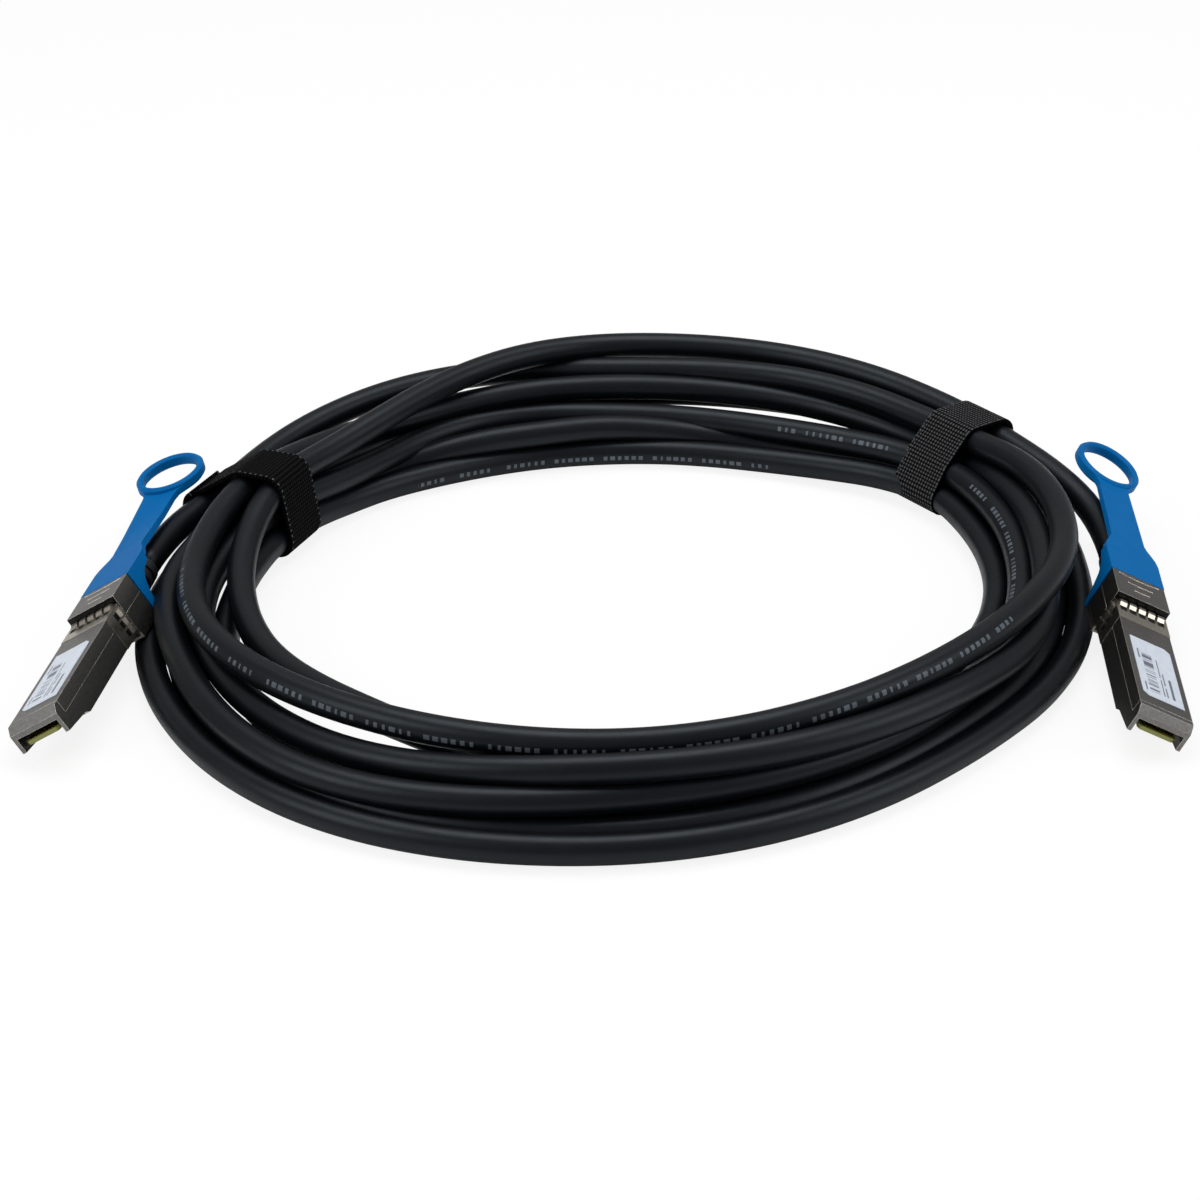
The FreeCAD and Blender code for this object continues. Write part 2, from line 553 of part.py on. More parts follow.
def latch_spring(tag):
    """Torsion spring beside the lever: three turns round the pin and a tail on the floor."""
    body = new_body("latch_spring" + tag)
    turns = 3
    start = "@lever_width/2 + 0.25"
    pitch = "2*@coil_wire"
    inner = "@pin_radius + 0.12"
    outer = "@pin_radius + 0.12 + @coil_wire"
    corners = [(inner, start)]
    for number in range(turns):
        corners.append((outer, "%s + (%d + 0.15)*%s" % (start, number, pitch)))
        corners.append((outer, "%s + (%d + 0.7)*%s" % (start, number, pitch)))
        if number < turns - 1:
            corners.append((outer + " - 0.15", "%s + %d*%s" % (start, number + 1, pitch)))
    corners.append((inner, "%s + (%d - 0.2)*%s" % (start, turns, pitch)))
    sketch = new_sketch(body, "XY_Plane", "@pivot_height")
    draw_polygon(sketch, [("-@pivot_back + " + radius, along) for radius, along in corners])
    line = sketch.addGeometry(Part.LineSegment(V(0, -1, 0), V(0, 1, 0)), True)
    for point, along in ((1, "1"), (2, "8")):
        for kind, text in (("DistanceX", "-@pivot_back"), ("DistanceY", along)):
            index = sketch.addConstraint(Sketcher.Constraint(kind, -1, 1, line, point, 0.5))
            sketch.setExpression("Constraints[%d]" % index, cell(text))
    turned = body.newObject("PartDesign::Revolution", body.Name + "_turned")
    turned.Profile = sketch
    turned.ReferenceAxis = (sketch, ["Axis0"])
    turned.Angle = 360.0
    # tail that reaches back and down to the floor of the shell
    sketch = new_sketch(body, "XZ_Plane", "-(%s + %d*%s)" % (start, turns, pitch))
    draw_polygon(sketch, [("-@pivot_back - 3.2", "0.55"), ("-@pivot_back - 3.2", "0.9"),
                          ("-@pivot_back - 0.1", "@pivot_height - @pin_radius - 0.15"),
                          ("-@pivot_back - 0.1", "@pivot_height - @pin_radius - 0.45")])
    pad(body, sketch, "@coil_wire", backward=False)
    return body


def release_slider(tag):
    """Stamped channel under the shell; its tongue runs forward and wedges the lever up."""
    body = new_body("release_slider" + tag)
    low = "-@shell_drop"
    side_pad(body, box_corners("-%s" % REAR, "-@slider_front", low, low + " + @slider_sheet"),
             "@shell_width")
    for side in (1, -1):
        sketch = new_sketch(body, "XZ_Plane", signed(-side, "@shell_width/2"))
        draw_polygon(sketch, box_corners("-%s" % REAR, "-@slider_front", low,
                                         low + " + @slider_flange - @slider_gap"))
        pad(body, sketch, "@slider_sheet", backward=(side < 0))
    # step up through the slot, then the tongue with its wedge
    slope = "(@latch_swing*pi/180*(@pivot_back - @cam_front)/@pull_travel)"
    crest = "@beam_bottom - @cam_gap"
    foot = "-@cam_front - (@cam_bottom - @cam_gap - @tongue_top)/%s" % slope
    top = "-@cam_front + (@beam_bottom - @cam_bottom)/%s" % slope
    side_pad(body, [("-@step_back", low), ("-@step_back + @slider_sheet", low),
                    ("-@step_back + @slider_sheet", "@tongue_bottom"),
                    ("-@tongue_front", "@tongue_bottom"), ("-@tongue_front", crest),
                    (top, crest), (foot, "@tongue_top"), ("-@step_back", "@tongue_top")],
             "@tongue_width")
    # tabs that the strap's foot is moulded round
    for side in (1, -1):
        sketch = new_sketch(body, "XY_Plane", low)
        middle = signed(side, "@tab_centre")
        draw_rectangle(sketch, "-%s - @tab_reach" % REAR, "-%s + 0.1" % REAR,
                       middle + " - @tab_width/2", middle + " + @tab_width/2")
        pad(body, sketch, "@slider_sheet")
    return body


def strap_section(body, back, width, turn, bow):
    """Cross-section of the strap: a flat bar turned about the ring's long axis and bowed up."""
    sketch = new_sketch(body, "YZ_Plane", "-(%s)" % back)
    middle = "(@nose_height + @shell_rise - @strap_thick/2 + %s)" % bow
    half, thin = "(%s)/2" % width, "@strap_thick/2"
    corners = []
    for across, up in ((-1, -1), (1, -1), (1, 1), (-1, 1)):
        y = "%d*(%s)" % (across, half)
        z = "%d*(%s)" % (up, thin)
        corners.append(("(%s)*cos(%s) - (%s)*sin(%s)" % (y, turn, z, turn),
                        "%s + (%s)*sin(%s) + (%s)*cos(%s)" % (middle, y, turn, z, turn)))
    draw_polygon(sketch, corners)
    return sketch


def pull_strap(tag, twist, lift):
    """Moulded strap: a yoke that straddles the shell's rear, a limp strip and a finger ring."""
    body = new_body("strap_body" + tag)
    front = "%s + @yoke_gap" % REAR
    # flat head of the yoke
    side_pad(body, box_corners("-@yoke_shoulder", "-(%s)" % front,
                               "@nose_height + @shell_rise - @strap_thick",
                               "@nose_height + @shell_rise"), "@yoke_width")
    # legs down the shell's rear edges, their rear sides hollowed, and the foot that joins them
    top = "@nose_height + @shell_rise - @strap_thick/2"
    foot_back = "-(%s) - @leg_foot" % front
    for side in (1, -1):
        sketch = new_sketch(body, "XZ_Plane", signed(-side, "@yoke_width/2"))
        draw_polygon(sketch, [("-(%s)" % front, "-@foot_drop"), ("-(%s)" % front, top),
                              ("-@gusset_back", top),
                              ("-@gusset_back", top + " - @strap_thick"),
                              ("-@gusset_back + 4.4", top + " - @strap_thick - 0.9"),
                              ("-@gusset_back + 6.6", top + " - @strap_thick - 2.7"),
                              ("-@gusset_back + 8.1", top + " - @strap_thick - 5.6"),
                              (foot_back, "-@foot_drop + @foot_height"),
                              (foot_back, "-@foot_drop")])
        pad(body, sketch, "@leg_thick", backward=(side < 0))
    side_pad(body, box_corners(foot_back, "-(%s)" % front, "-@foot_drop",
                               "-@foot_drop + @foot_height"), "@yoke_width")
    for side in (1, -1):
        sketch = new_sketch(body, "YZ_Plane", "-%s - @tab_reach - @seat_gap" % REAR)
        middle = signed(side, "@tab_centre")
        draw_rectangle(sketch, middle + " - @tab_width/2 - @seat_gap",
                       middle + " + @tab_width/2 + @seat_gap", "-@shell_drop - @seat_gap",
                       "-@shell_drop + @slider_sheet + @seat_gap")
        pocket(body, sketch, "@tab_reach + 0.5", backward=True)
    # strip that narrows behind the shoulders and turns towards the ring
    stations = [("@yoke_shoulder", "@yoke_width", "0"),
                ("@yoke_shoulder + 2.4", "@yoke_width - 0.9", "0"),
                ("(@yoke_shoulder + 2.4 + @strap_start - 1.6)/2", "(@yoke_width + @strap_width)/2",
                 "0"),
                ("@strap_start - 1.6", "@strap_width + 0.8", "0"),
                ("@strap_start", "@strap_width", "0.03"),
                ("@strap_start + (@neck_back - @strap_start)/3",
                 "@strap_width + (@neck_width - @strap_width)/3", "0.3"),
                ("@strap_start + (@neck_back - @strap_start)*2/3",
                 "@strap_width + (@neck_width - @strap_width)*2/3", "0.66"),
                ("@neck_back", "@neck_width", "1"),
                ("@neck_back + 2.6", "@neck_width + 1.0", "1"),
                ("@ring_back - 0.66*@ring_long", "1.46*@ring_wide", "1")]
    sections = []
    for back, width, share in stations:
        bow = "%s*max(0; (%s - @strap_start)/(@ring_back - @strap_start))^2" % (lift, back)
        turn = "(%s*%s*1deg)" % (share, twist)
        sections.append(strap_section(body, back, width, turn, bow))
    loft = body.newObject("PartDesign::AdditiveLoft", body.Name + "_loft")
    loft.Profile = sections[0]
    loft.Sections = sections[1:]
    loft.Ruled = True
    # finger ring: an oval band with bevelled rims, turned with the strip's end
    discs = []
    for name, shrink, depth in (("outer", "0", "0"), ("inner", "@ring_rim", "0"),
                                ("hole", "@ring_rim", "1")):
        disc = doc.addObject("Part::Ellipse", "ring_%s%s" % (name, tag))
        disc.setExpression("MajorRadius", cell("@ring_long - " + shrink))
        disc.setExpression("MinorRadius", cell("@ring_wide - " + shrink))
        solid = doc.addObject("Part::Extrusion", "ring_%s_disc%s" % (name, tag))
        solid.Base = disc
        solid.Dir = V(0, 0, 1)
        solid.DirMode = "Custom"
        solid.Solid = True
        solid.setExpression("LengthFwd", cell("@ring_thick/2 + " + depth))
        solid.setExpression("LengthRev", cell("@ring_thick/2 + " + depth))
        discs.append(solid)
    band = cut("ring_band" + tag, discs[0], discs[1])
    doc.recompute()
    ring = doc.addObject("Part::Chamfer", "ring" + tag)
    ring.Base = band
    ring.Edges = [(number, size("ring_bevel"), size("ring_bevel"))
                  for number, edge in enumerate(band.Shape.Edges, start=1)
                  if edge.BoundBox.ZLength < 1e-4 and edge.Length > 5]
    tilt = FreeCAD.Rotation(V(1, 0, 0), size(twist.strip("@")))
    for item in (ring, discs[2]):
        item.Placement = FreeCAD.Placement(V(0, 0, 0), tilt)
        item.setExpression("Placement.Base.x", cell("-@ring_back"))
        item.setExpression("Placement.Base.z",
                           cell("@nose_height + @shell_rise - @strap_thick/2 + %s" % lift))
    return fuse("pull_strap" + tag, [cut("strap_strip" + tag, body, discs[2]), ring])


def cable_boot(tag):
    """Strain relief: a flange caught inside the shell, a neck and a ribbed taper."""
    body = new_body("cable_boot" + tag)
    wall = "-%s + @wall_rear" % REAR
    end = "-%s - @boot_length" % REAR
    corners = [(end, "0"), (end, "@boot_tip")]
    count = 4
    for number in reversed(range(count)):
        near = "-%s - @rib_first - %d*@rib_pitch" % (REAR, number)
        far = near + " - @rib_width"
        outer = "(@boot_radius - (@boot_radius - @boot_tip)*%s)" % (number / count)
        corners += [(far, outer), (far, outer + " - @rib_depth"), (near, outer + " - @rib_depth"),
                    (near, outer)]
    corners += [("-%s - @seat_gap" % REAR, "@boot_radius"), ("-%s - @seat_gap" % REAR, "@boot_neck"),
                (wall + " + @seat_gap", "@boot_neck"), (wall + " + @seat_gap", "@boot_flange"),
                (wall + " + @seat_gap + @flange_thick", "@boot_flange"),
                (wall + " + @seat_gap + @flange_thick", "0")]
    revolve(body, corners, "@cable_height")
    # the two pairs leave through the flange's front
    sketch = new_sketch(body, "YZ_Plane", wall + " + @seat_gap + @flange_thick + 0.1")
    for side in (1, -1):
        draw_circle(sketch, signed(side, "@pair_centre"), "@cable_height",
                    "@pair_radius + @seat_gap")
    pocket(body, sketch, "@flange_thick + @wall_rear")
    return body


def crimp_ferrule(tag):
    """Brass ring crimped over the braid, just in front of the boot."""
    body = new_body("crimp_ferrule" + tag)
    inner = "@ferrule_radius - @ferrule_wall"
    revolve(body, [("-@ferrule_back", inner), ("-@ferrule_front", inner),
                   ("-@ferrule_front", "@ferrule_radius - 0.15"),
                   ("-@ferrule_front - 0.3", "@ferrule_radius"),
                   ("-@ferrule_back", "@ferrule_radius")], "@cable_height")
    return body


def shielded_pairs(tag):
    """The two foil-wrapped pairs between the boot and the card."""
    start = "%s - @wall_rear/2" % REAR
    return group("shielded_pairs" + tag,
                 [rod("pair%s_%d" % (tag, side), "@pair_radius", start + " - @pair_front",
                      "-(%s)" % start, signed(side, "@pair_centre"), "@cable_height", "X")
                  for side in (1, -1)])


def wire_cores(tag):
    """The four insulated cores, out of the foil and down onto the card."""
    return group("wire_cores" + tag,
                 [rod("core%s_%d" % (tag, number), "@core_radius", "@pair_front - @core_front",
                      "-@pair_front + 0.02", "%s*@core_pitch" % (number - 1.5),
                      "@card_bottom + @card_thick + @core_radius + 0.02", "X")
                  for number in range(4)])


def plug_label(tag):
    """Plain sticker on the cover, two opposite corners cut."""
    body = new_body("plug_label" + tag)
    sketch = new_sketch(body, "XY_Plane", "@nose_height")
    front, back = "-@label_front", "-@label_front - @label_length"
    half = "@label_width/2"
    draw_polygon(sketch, [(back, "-" + half), (front + " - @label_corner", "-" + half),
                          (front, "-%s + @label_corner" % half), (front, half),
                          (back + " + @label_corner", half), (back, half + " - @label_corner")])
    pad(body, sketch, "@label_thick")
    return body


def build_plug(tag):
    twist = "@strap_twist" + tag
    return {
        "lower_housing": lower_housing(tag), "top_cover": top_cover(tag),
        "emi_collar": emi_collar(tag), "circuit_card": circuit_card(tag),
        "contact_pads": contact_pads(tag), "memory_chip": memory_chip(tag),
        "coupling_capacitors": coupling_capacitors(tag), "cover_screw": cover_screw(tag),
        "latch_lever": latch_lever(tag), "latch_pin": latch_pin(tag),
        "latch_spring": latch_spring(tag), "release_slider": release_slider(tag),
        "pull_strap": pull_strap(tag, twist, "@strap_bow" + tag), "cable_boot": cable_boot(tag),
        "crimp_ferrule": crimp_ferrule(tag), "shielded_pairs": shielded_pairs(tag),
        "wire_cores": wire_cores(tag), "plug_label": plug_label(tag),
    }


plugs = {tag: build_plug(tag) for tag in ("_a", "_b")}
doc.recompute()


def lay_plug(tag):
    """Turn a plug as it lies and let its lowest corner touch the surface."""
    rotation = FreeCAD.Rotation(size("yaw" + tag), size("pitch" + tag), size("roll" + tag))
    lowest = 1e9
    for item in plugs[tag].values():
        shape = item.Shape.copy()
        shape.Placement = FreeCAD.Placement(V(0, 0, 0), rotation).multiply(shape.Placement)
        lowest = min(lowest, shape.BoundBox.ZMin)
    return FreeCAD.Placement(V(size("place_x" + tag), size("place_y" + tag), -lowest), rotation)


plug_place = {tag: lay_plug(tag) for tag in plugs}

# ----------------------------------------------------------------------------------------
# The cable: where each turn of the coil lies
# ----------------------------------------------------------------------------------------
# Turns are named a to g round the front and left of the coil. Each place is a distance from
# the coil's axis and a height, at an angle counted from +X towards +Y. The cable leaves the
# left plug, runs clockwise seen from above, and leaves the coil at the right-hand tie.
LEFT_TIE = size("tie_angle_left")
RIGHT_TIE = size("tie_angle_right")
BACK = {
    LEFT_TIE: {"start": (109.4, 10.5), "c": (98.6, 17.7), "d": (91.2, 17.9), "g": (91.2, 11.3),
               "f": (88.9, 5.4), "e": (95.9, 5.4), "a": (104.0, 5.4), "b": (98.4, 11.2)},
    140: {"start": (111.6, 13.6), "c": (98.8, 15.4), "d": (90.0, 18.9), "g": (88.0, 10.2),
          "f": (87.5, 3.4), "e": (94.5, 3.4), "a": (104.6, 3.6), "b": (98.5, 9.0)},
    130: {"start": (112.4, 15.6), "c": (98.8, 14.9), "d": (91.5, 21.2), "g": (90.8, 10.0),
          "f": (86.6, 3.4), "e": (94.0, 3.6), "a": (105.2, 3.4), "b": (99.5, 8.6)},
    120: {"start": (112.8, 16.9), "c": (98.5, 15.0), "d": (96.2, 22.4), "g": (94.6, 10.4),
          "f": (84.8, 3.4), "e": (88.2, 8.4), "a": (106.5, 3.4), "b": (100.8, 8.6)},
    105: {"start": (114.0, 16.6), "c": (99.8, 15.9), "d": (106.0, 23.6), "g": (97.8, 10.0),
          "f": (84.7, 3.4), "e": (84.6, 10.1), "a": (104.0, 3.4), "b": (104.5, 10.0)},
    90: {"start": (107.4, 18.0), "c": (100.8, 15.9), "d": (114.9, 22.2), "g": (94.5, 10.2),
         "f": (85.5, 3.4), "e": (87.2, 10.0), "a": (102.0, 4.6), "b": (107.0, 11.3)},
    60: {"start": (109.7, 19.4), "c": (107.5, 13.6), "d": (118.5, 21.3), "g": (95.0, 10.6),
         "f": (89.8, 3.8), "e": (96.8, 4.0), "a": (105.0, 4.2), "b": (113.8, 10.8)},
    RIGHT_TIE: {"start": (109.5, 18.0), "c": (110.0, 11.3), "d": (118.5, 17.9),
                "g": (103.0, 11.3), "f": (99.4, 5.4), "e": (106.4, 5.4), "a": (113.4, 5.4),
                "b": (117.0, 11.3)},
}
# Past the right-hand tie each turn takes the name it has round the front.
NEXT = {"start": "c", "c": "g", "g": "b", "b": "a", "a": "e", "e": "f", "f": "d"}
FRONT = {
    20: {"c": (111.5, 19.6), "g": (107.0, 13.6), "b": (101.2, 11.0), "d": (96.5, 4.8),
         "f": (103.5, 4.4), "e": (110.4, 4.2), "a": (115.5, 8.8)},
    0: {"c": (107.5, 18.8), "g": (102.5, 14.6), "b": (97.5, 10.3), "d": (92.3, 4.4),
        "f": (98.9, 3.6), "e": (105.6, 3.5), "a": (112.3, 3.4)},
    -20: {"c": (100.3, 20.3), "g": (102.5, 13.2), "b": (96.0, 9.9), "d": (88.0, 5.0),
          "f": (95.0, 3.4), "e": (101.9, 3.4), "a": (108.8, 3.4)},
    -45: {"c": (95.0, 20.4), "g": (100.0, 15.6), "b": (96.6, 9.9), "d": (89.8, 9.8),
          "f": (91.4, 3.4), "e": (98.2, 3.4), "a": (105.0, 3.4)},
    -90: {"c": (94.9, 18.0), "g": (101.8, 16.3), "b": (103.6, 10.1), "d": (96.5, 10.2),
          "f": (99.4, 3.5), "e": (106.2, 3.4), "a": (113.0, 3.4)},
    -125: {"c": (98.6, 18.0), "g": (104.3, 11.0), "b": (113.6, 9.4), "d": (91.5, 13.8),
           "f": (99.0, 3.6), "e": (110.6, 3.4), "a": (117.9, 3.4)},
    -158: {"c": (102.3, 16.7), "g": (101.2, 10.0), "b": (108.0, 10.0), "d": (89.5, 10.6),
           "f": (96.5, 3.6), "e": (106.8, 3.4), "a": (113.8, 3.4)},
    -180: {"c": (100.2, 15.2), "g": (97.6, 9.0), "b": (106.2, 9.9), "d": (90.0, 12.5),
           "f": (91.5, 4.4), "e": (102.6, 3.4), "a": (110.0, 3.4)},
}
ASPECT = 0.98
RADIUS = size("cable_diameter") / 2
# The places above suit a coil of 104 mm mean radius wound from a 6.8 mm cable.
SPREAD = size("coil_radius") / 104
LIFT = size("cable_diameter") / 6.8
for lanes in (*BACK.values(), *FRONT.values()):
    for name, (reach, height) in lanes.items():
        lanes[name] = (reach * SPREAD, height * LIFT)


def on_ring(angle, reach, height):
    """The point at an angle, a distance from the coil's axis and a height."""
    turn = math.radians(angle)
    return V(size("coil_x") + reach * math.cos(turn),
             size("coil_y") + ASPECT * reach * math.sin(turn), height)


def hull_outline(angle, places, extra):
    """Eight-sided outline round the turns that pass at one angle."""
    supports = []
    for number in range(8):
        way = math.pi / 4 * number
        reach = max(math.cos(way) * r + math.sin(way) * z for r, z in places) + RADIUS + extra
        if number == 6:
            reach = min(reach, extra)
        supports.append((way, reach))
    corners = []
    for number in range(8):
        (a1, s1), (a2, s2) = supports[number], supports[(number + 1) % 8]
        scale = math.sin(a2 - a1)
        r = (s1 * math.sin(a2) - s2 * math.sin(a1)) / scale
        z = (s2 * math.cos(a1) - s1 * math.cos(a2)) / scale
        corners.append(on_ring(angle, r, z))
    return Part.makePolygon(corners + corners[:1])


def places_between(angle):
    """The turns at any angle, straight between the two nearest rows above."""
    rows = {**BACK, **FRONT}
    if angle in rows:
        return list(rows[angle].values())
    above = min(a for a in rows if a > angle)
    below = max((a for a in rows if a < angle), default=LEFT_TIE - 360)
    share = (angle - below) / (above - below)
    upper, lower = rows[above], rows.get(below, rows[LEFT_TIE])
    if above == RIGHT_TIE:
        upper = {NEXT.get(name): place for name, place in upper.items()}
    names = set(upper) & set(lower)
    return [tuple(lower[n][k] + (upper[n][k] - lower[n][k]) * share for k in (0, 1))
            for n in sorted(names)]


STEPS = 48
outlines = [hull_outline(LEFT_TIE - 360 * number / STEPS,
                         places_between(LEFT_TIE - 360 * number / STEPS), 0)
            for number in range(STEPS)]
wound = doc.addObject("Part::Feature", "wound_turns")
wound.Shape = Part.makeLoft(outlines, True, True, True)
# where the plugs lean on the coil it gives way to them
leaning = []
for tag in plugs:
    envelope = fuse("plug_room" + tag, [
        block("shell_room" + tag,
              "@gusset_back - 6.5 + @pull_travel + @lean_gap - @collar_front + @lean_gap",
              "@yoke_width + 2*@lean_gap", "@nose_height + @shell_rise + @foot_drop + 2*@lean_gap",
              "-(@gusset_back - 6.5 + @pull_travel + @lean_gap)", "-@yoke_width/2 - @lean_gap",
              "-@foot_drop - @lean_gap"),
        rod("boot_room" + tag, "@boot_radius + @lean_gap", "@boot_length + 2*@lean_gap",
            "-%s - @boot_length - @lean_gap" % REAR, "0", "@cable_height", "X"),
        block("yoke_room" + tag, "@yoke_length + @web_length + @pull_travel + @lean_gap",
              "@yoke_width + 2*@lean_gap", "@nose_height + @shell_rise - @cable_height + @lean_gap",
              "-@strap_start - @pull_travel - @lean_gap", "-@yoke_width/2 - @lean_gap",
              "@cable_height"),
        block("strap_room" + tag, "@strap_length + @pull_travel + @lean_gap",
              "@strap_width + 2*@lean_gap", "2*@strap_thick + 3 + 2*@lean_gap",
              "-@neck_back - @pull_travel - @lean_gap", "-@strap_width/2 - @lean_gap",
              "@nose_height + @shell_rise - 2*@strap_thick - 0.5 - @lean_gap")])
    envelope.Placement = plug_place[tag]
    leaning.append(envelope)
coil = cut("cable_coil", wound, group("plug_rooms", leaning))


def band(name, angle):
    """A strip closed round the bundle, clear of it by the named gap."""
    places = places_between(angle)
    low = min(z for r, z in places) - RADIUS
    inner = hull_outline(angle, places, 0)
    corners = [V(v.X, v.Y, max(v.Z, low)) for v in inner.OrderedVertexes]
    core = Part.Face(Part.makePolygon(corners + corners[:1]))
    ring = core.makeOffset2D(size("tie_gap") + size("tie_thick"), 0).cut(
        core.makeOffset2D(size("tie_gap"), 0))
    turn = math.radians(angle)
    along = V(-math.sin(turn), ASPECT * math.cos(turn), 0).normalize()
    ring.translate(along * (-size("tie_length") / 2))
    item = doc.addObject("Part::Feature", name)
    item.Shape = ring.extrude(along * size("tie_length"))
    return item


ties = {"tie_left": band("tie_left", LEFT_TIE), "tie_right": band("tie_right", RIGHT_TIE)}


def tube(name, points):
    """A round cord along straight runs joined by tangent arcs."""
    edges = []
    start = points[0]
    for before, corner, after in zip(points, points[1:], points[2:]):
        back, ahead = (before - corner), (after - corner)
        shorter = min(back.Length, ahead.Length)
        turn = math.pi - back.getAngle(ahead)
        radius = 0.45 * shorter / math.tan(turn / 2)
        print("%s bend radius %.1f mm, turn %.1f deg" % (name, radius, math.degrees(turn)))
        reach = 0.45 * shorter
        enter = corner + back.normalize() * reach
        leave = corner + ahead.normalize() * reach
        inward = (enter + leave) * 0.5 - corner
        depth = radius / math.cos(turn / 2) - radius
        edges.append(Part.LineSegment(start, enter).toShape())
        edges.append(Part.Arc(enter, corner + inward.normalize() * depth, leave).toShape())
        start = leave
    edges.append(Part.LineSegment(start, points[-1]).toShape())
    path = Part.Wire(edges)
    heading = (points[1] - points[0]).normalize()
    profile = Part.Wire(Part.makeCircle(RADIUS, points[0], heading))
    item = doc.addObject("Part::Feature", name)
    item.Shape = path.makePipeShell([profile], True, True)
    print("%s volume %.0f, section times length %.0f" % (
        name, item.Shape.Volume, math.pi * RADIUS * RADIUS * path.Length))
    return item


def boot_end(tag, beyond):
    """A point on the cable's axis, so far behind the boot of a plug."""
    back = -size("nose_reach") - size("shell_length") - size("boot_length") - beyond
    return plug_place[tag].multVec(V(back, 0, size("cable_height")))


tail_a = [boot_end("_a", 0), boot_end("_a", 17), on_ring(LEFT_TIE + 2, *BACK[LEFT_TIE]["start"])]
tail_b = [boot_end("_b", 0), boot_end("_b", 17), on_ring(21.5, 122.6 * SPREAD, 14.5 * LIFT),
          on_ring(RIGHT_TIE - 1, *BACK[RIGHT_TIE]["d"])]
tails = {"cable_tail_a": tube("cable_tail_a", tail_a), "cable_tail_b": tube("cable_tail_b", tail_b)}

# ----------------------------------------------------------------------------------------
# Stand everything on its origin and write the pieces
# ----------------------------------------------------------------------------------------
nodes = {}
for tag, pieces in plugs.items():
    for name, item in pieces.items():
        item.Placement = plug_place[tag].multiply(item.Placement)
        nodes[name + tag] = item
doc.recompute()
box = FreeCAD.BoundBox()
for item in nodes.values():
    box.add(item.Shape.BoundBox)
shift = V(-box.Center.x, -box.Center.y, -box.ZMin)
nodes["cable_coil"] = coil
nodes.update(ties)
nodes.update(tails)
for item in nodes.values():
    place = item.Placement
    item.Placement = FreeCAD.Placement(place.Base + shift, place.Rotation)
doc.recompute()

for item in doc.Objects:
    if "Invalid" in item.State or "Error" in item.State:
        raise RuntimeError("%s is in state %s" % (item.Label, item.State))
for name, item in nodes.items():
    item.Label = name
    if item.Shape.isNull() or not item.Shape.isValid() or not item.Shape.Solids:
        raise RuntimeError("%s has no sound shape" % name)
    item.Shape.exportStep("parts/%s.step" % name)

print("shift %.3f %.3f %.3f" % (shift.x, shift.y, shift.z))
for tag in plugs:
    place = plugs[tag]["lower_housing"].Placement
    print("plug%s at %s, axes %s %s %s" % (
        tag, place.Base, *[place.Rotation.multVec(v) for v in (V(1, 0, 0), V(0, 1, 0), V(0, 0, 1))]))
for name, points in (("tail_a", tail_a), ("tail_b", tail_b)):
    print(name, [tuple(round(c, 2) for c in p + shift) for p in points])
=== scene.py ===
"""Direct attach copper cable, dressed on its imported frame: jacketed cable wound in a coil,
hook-and-loop ties, nickel-plated plugs and moulded blue pull straps."""

import math

import bpy
from mathutils import Euler, Matrix, Vector


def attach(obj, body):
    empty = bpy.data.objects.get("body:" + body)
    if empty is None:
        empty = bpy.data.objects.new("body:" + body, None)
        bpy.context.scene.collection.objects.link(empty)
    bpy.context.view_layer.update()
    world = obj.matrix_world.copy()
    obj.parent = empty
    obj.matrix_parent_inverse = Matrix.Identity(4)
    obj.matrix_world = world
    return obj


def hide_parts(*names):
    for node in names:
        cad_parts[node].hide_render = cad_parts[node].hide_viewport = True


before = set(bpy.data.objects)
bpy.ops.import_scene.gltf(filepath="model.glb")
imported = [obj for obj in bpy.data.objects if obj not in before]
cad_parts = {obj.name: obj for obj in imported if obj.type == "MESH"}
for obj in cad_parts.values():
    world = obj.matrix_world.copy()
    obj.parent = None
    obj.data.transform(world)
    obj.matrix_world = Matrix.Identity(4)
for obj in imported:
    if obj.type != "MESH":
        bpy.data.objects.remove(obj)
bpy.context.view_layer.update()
MM = 0.001

# ---------------------------------------------------------------- camera
CAMERA_PLACE = Vector((-4.075, -590.67, 321.4)) * MM
CAMERA_AIM = Vector((-4.075, 13.829, 0.0)) * MM
# half the width of the frame and the focal length, in one unit
HALF_FRAME, FOCAL = 600, 2800
FIELD = 2 * math.atan(HALF_FRAME / FOCAL)

camera_data = bpy.data.cameras.new("camera")
camera_data.sensor_width = 36
camera_data.angle = FIELD
camera_data.clip_start = 0.01
camera = bpy.data.objects.new("camera", camera_data)
camera.location = CAMERA_PLACE
camera.rotation_euler = (CAMERA_AIM - CAMERA_PLACE).to_track_quat("-Z", "Y").to_euler()
bpy.context.scene.collection.objects.link(camera)
bpy.context.scene.camera = camera

# ---------------------------------------------------------------- where the plugs lie
# place of the nose's front in mm; yaw, pitch and roll in degrees
PLUGS = {
    "a": {"place": Vector((-124.1154, -64.3913, 4.5366)), "turn": (-98.6, 1.1, 32.7)},
    "b": {"place": Vector((116.9146, -60.4913, 2.7067)), "turn": (-91.9, 2.5, -25.6)},
}
for plug in PLUGS.values():
    yaw, pitch, roll = (math.radians(v) for v in plug["turn"])
    plug["euler"] = Euler((roll, pitch, yaw), "XYZ")
    plug["matrix"] = Matrix.Translation(plug["place"] * MM) @ plug["euler"].to_matrix().to_4x4()

# in the plug's own frame, in mm: the boot's end and the height of the cable's axis
BOOT_BACK, CABLE_HEIGHT = 76.55, 4.0


def behind_boot(tag, beyond):
    """A point on the cable's axis, so far behind the boot, in metres."""
    return PLUGS[tag]["matrix"] @ (Vector((-BOOT_BACK - beyond, 0, CABLE_HEIGHT)) * MM)


# ---------------------------------------------------------------- the coil's turns
LEFT_TIE, RIGHT_TIE = 157, 36
DIAMETER = 6.8 * MM
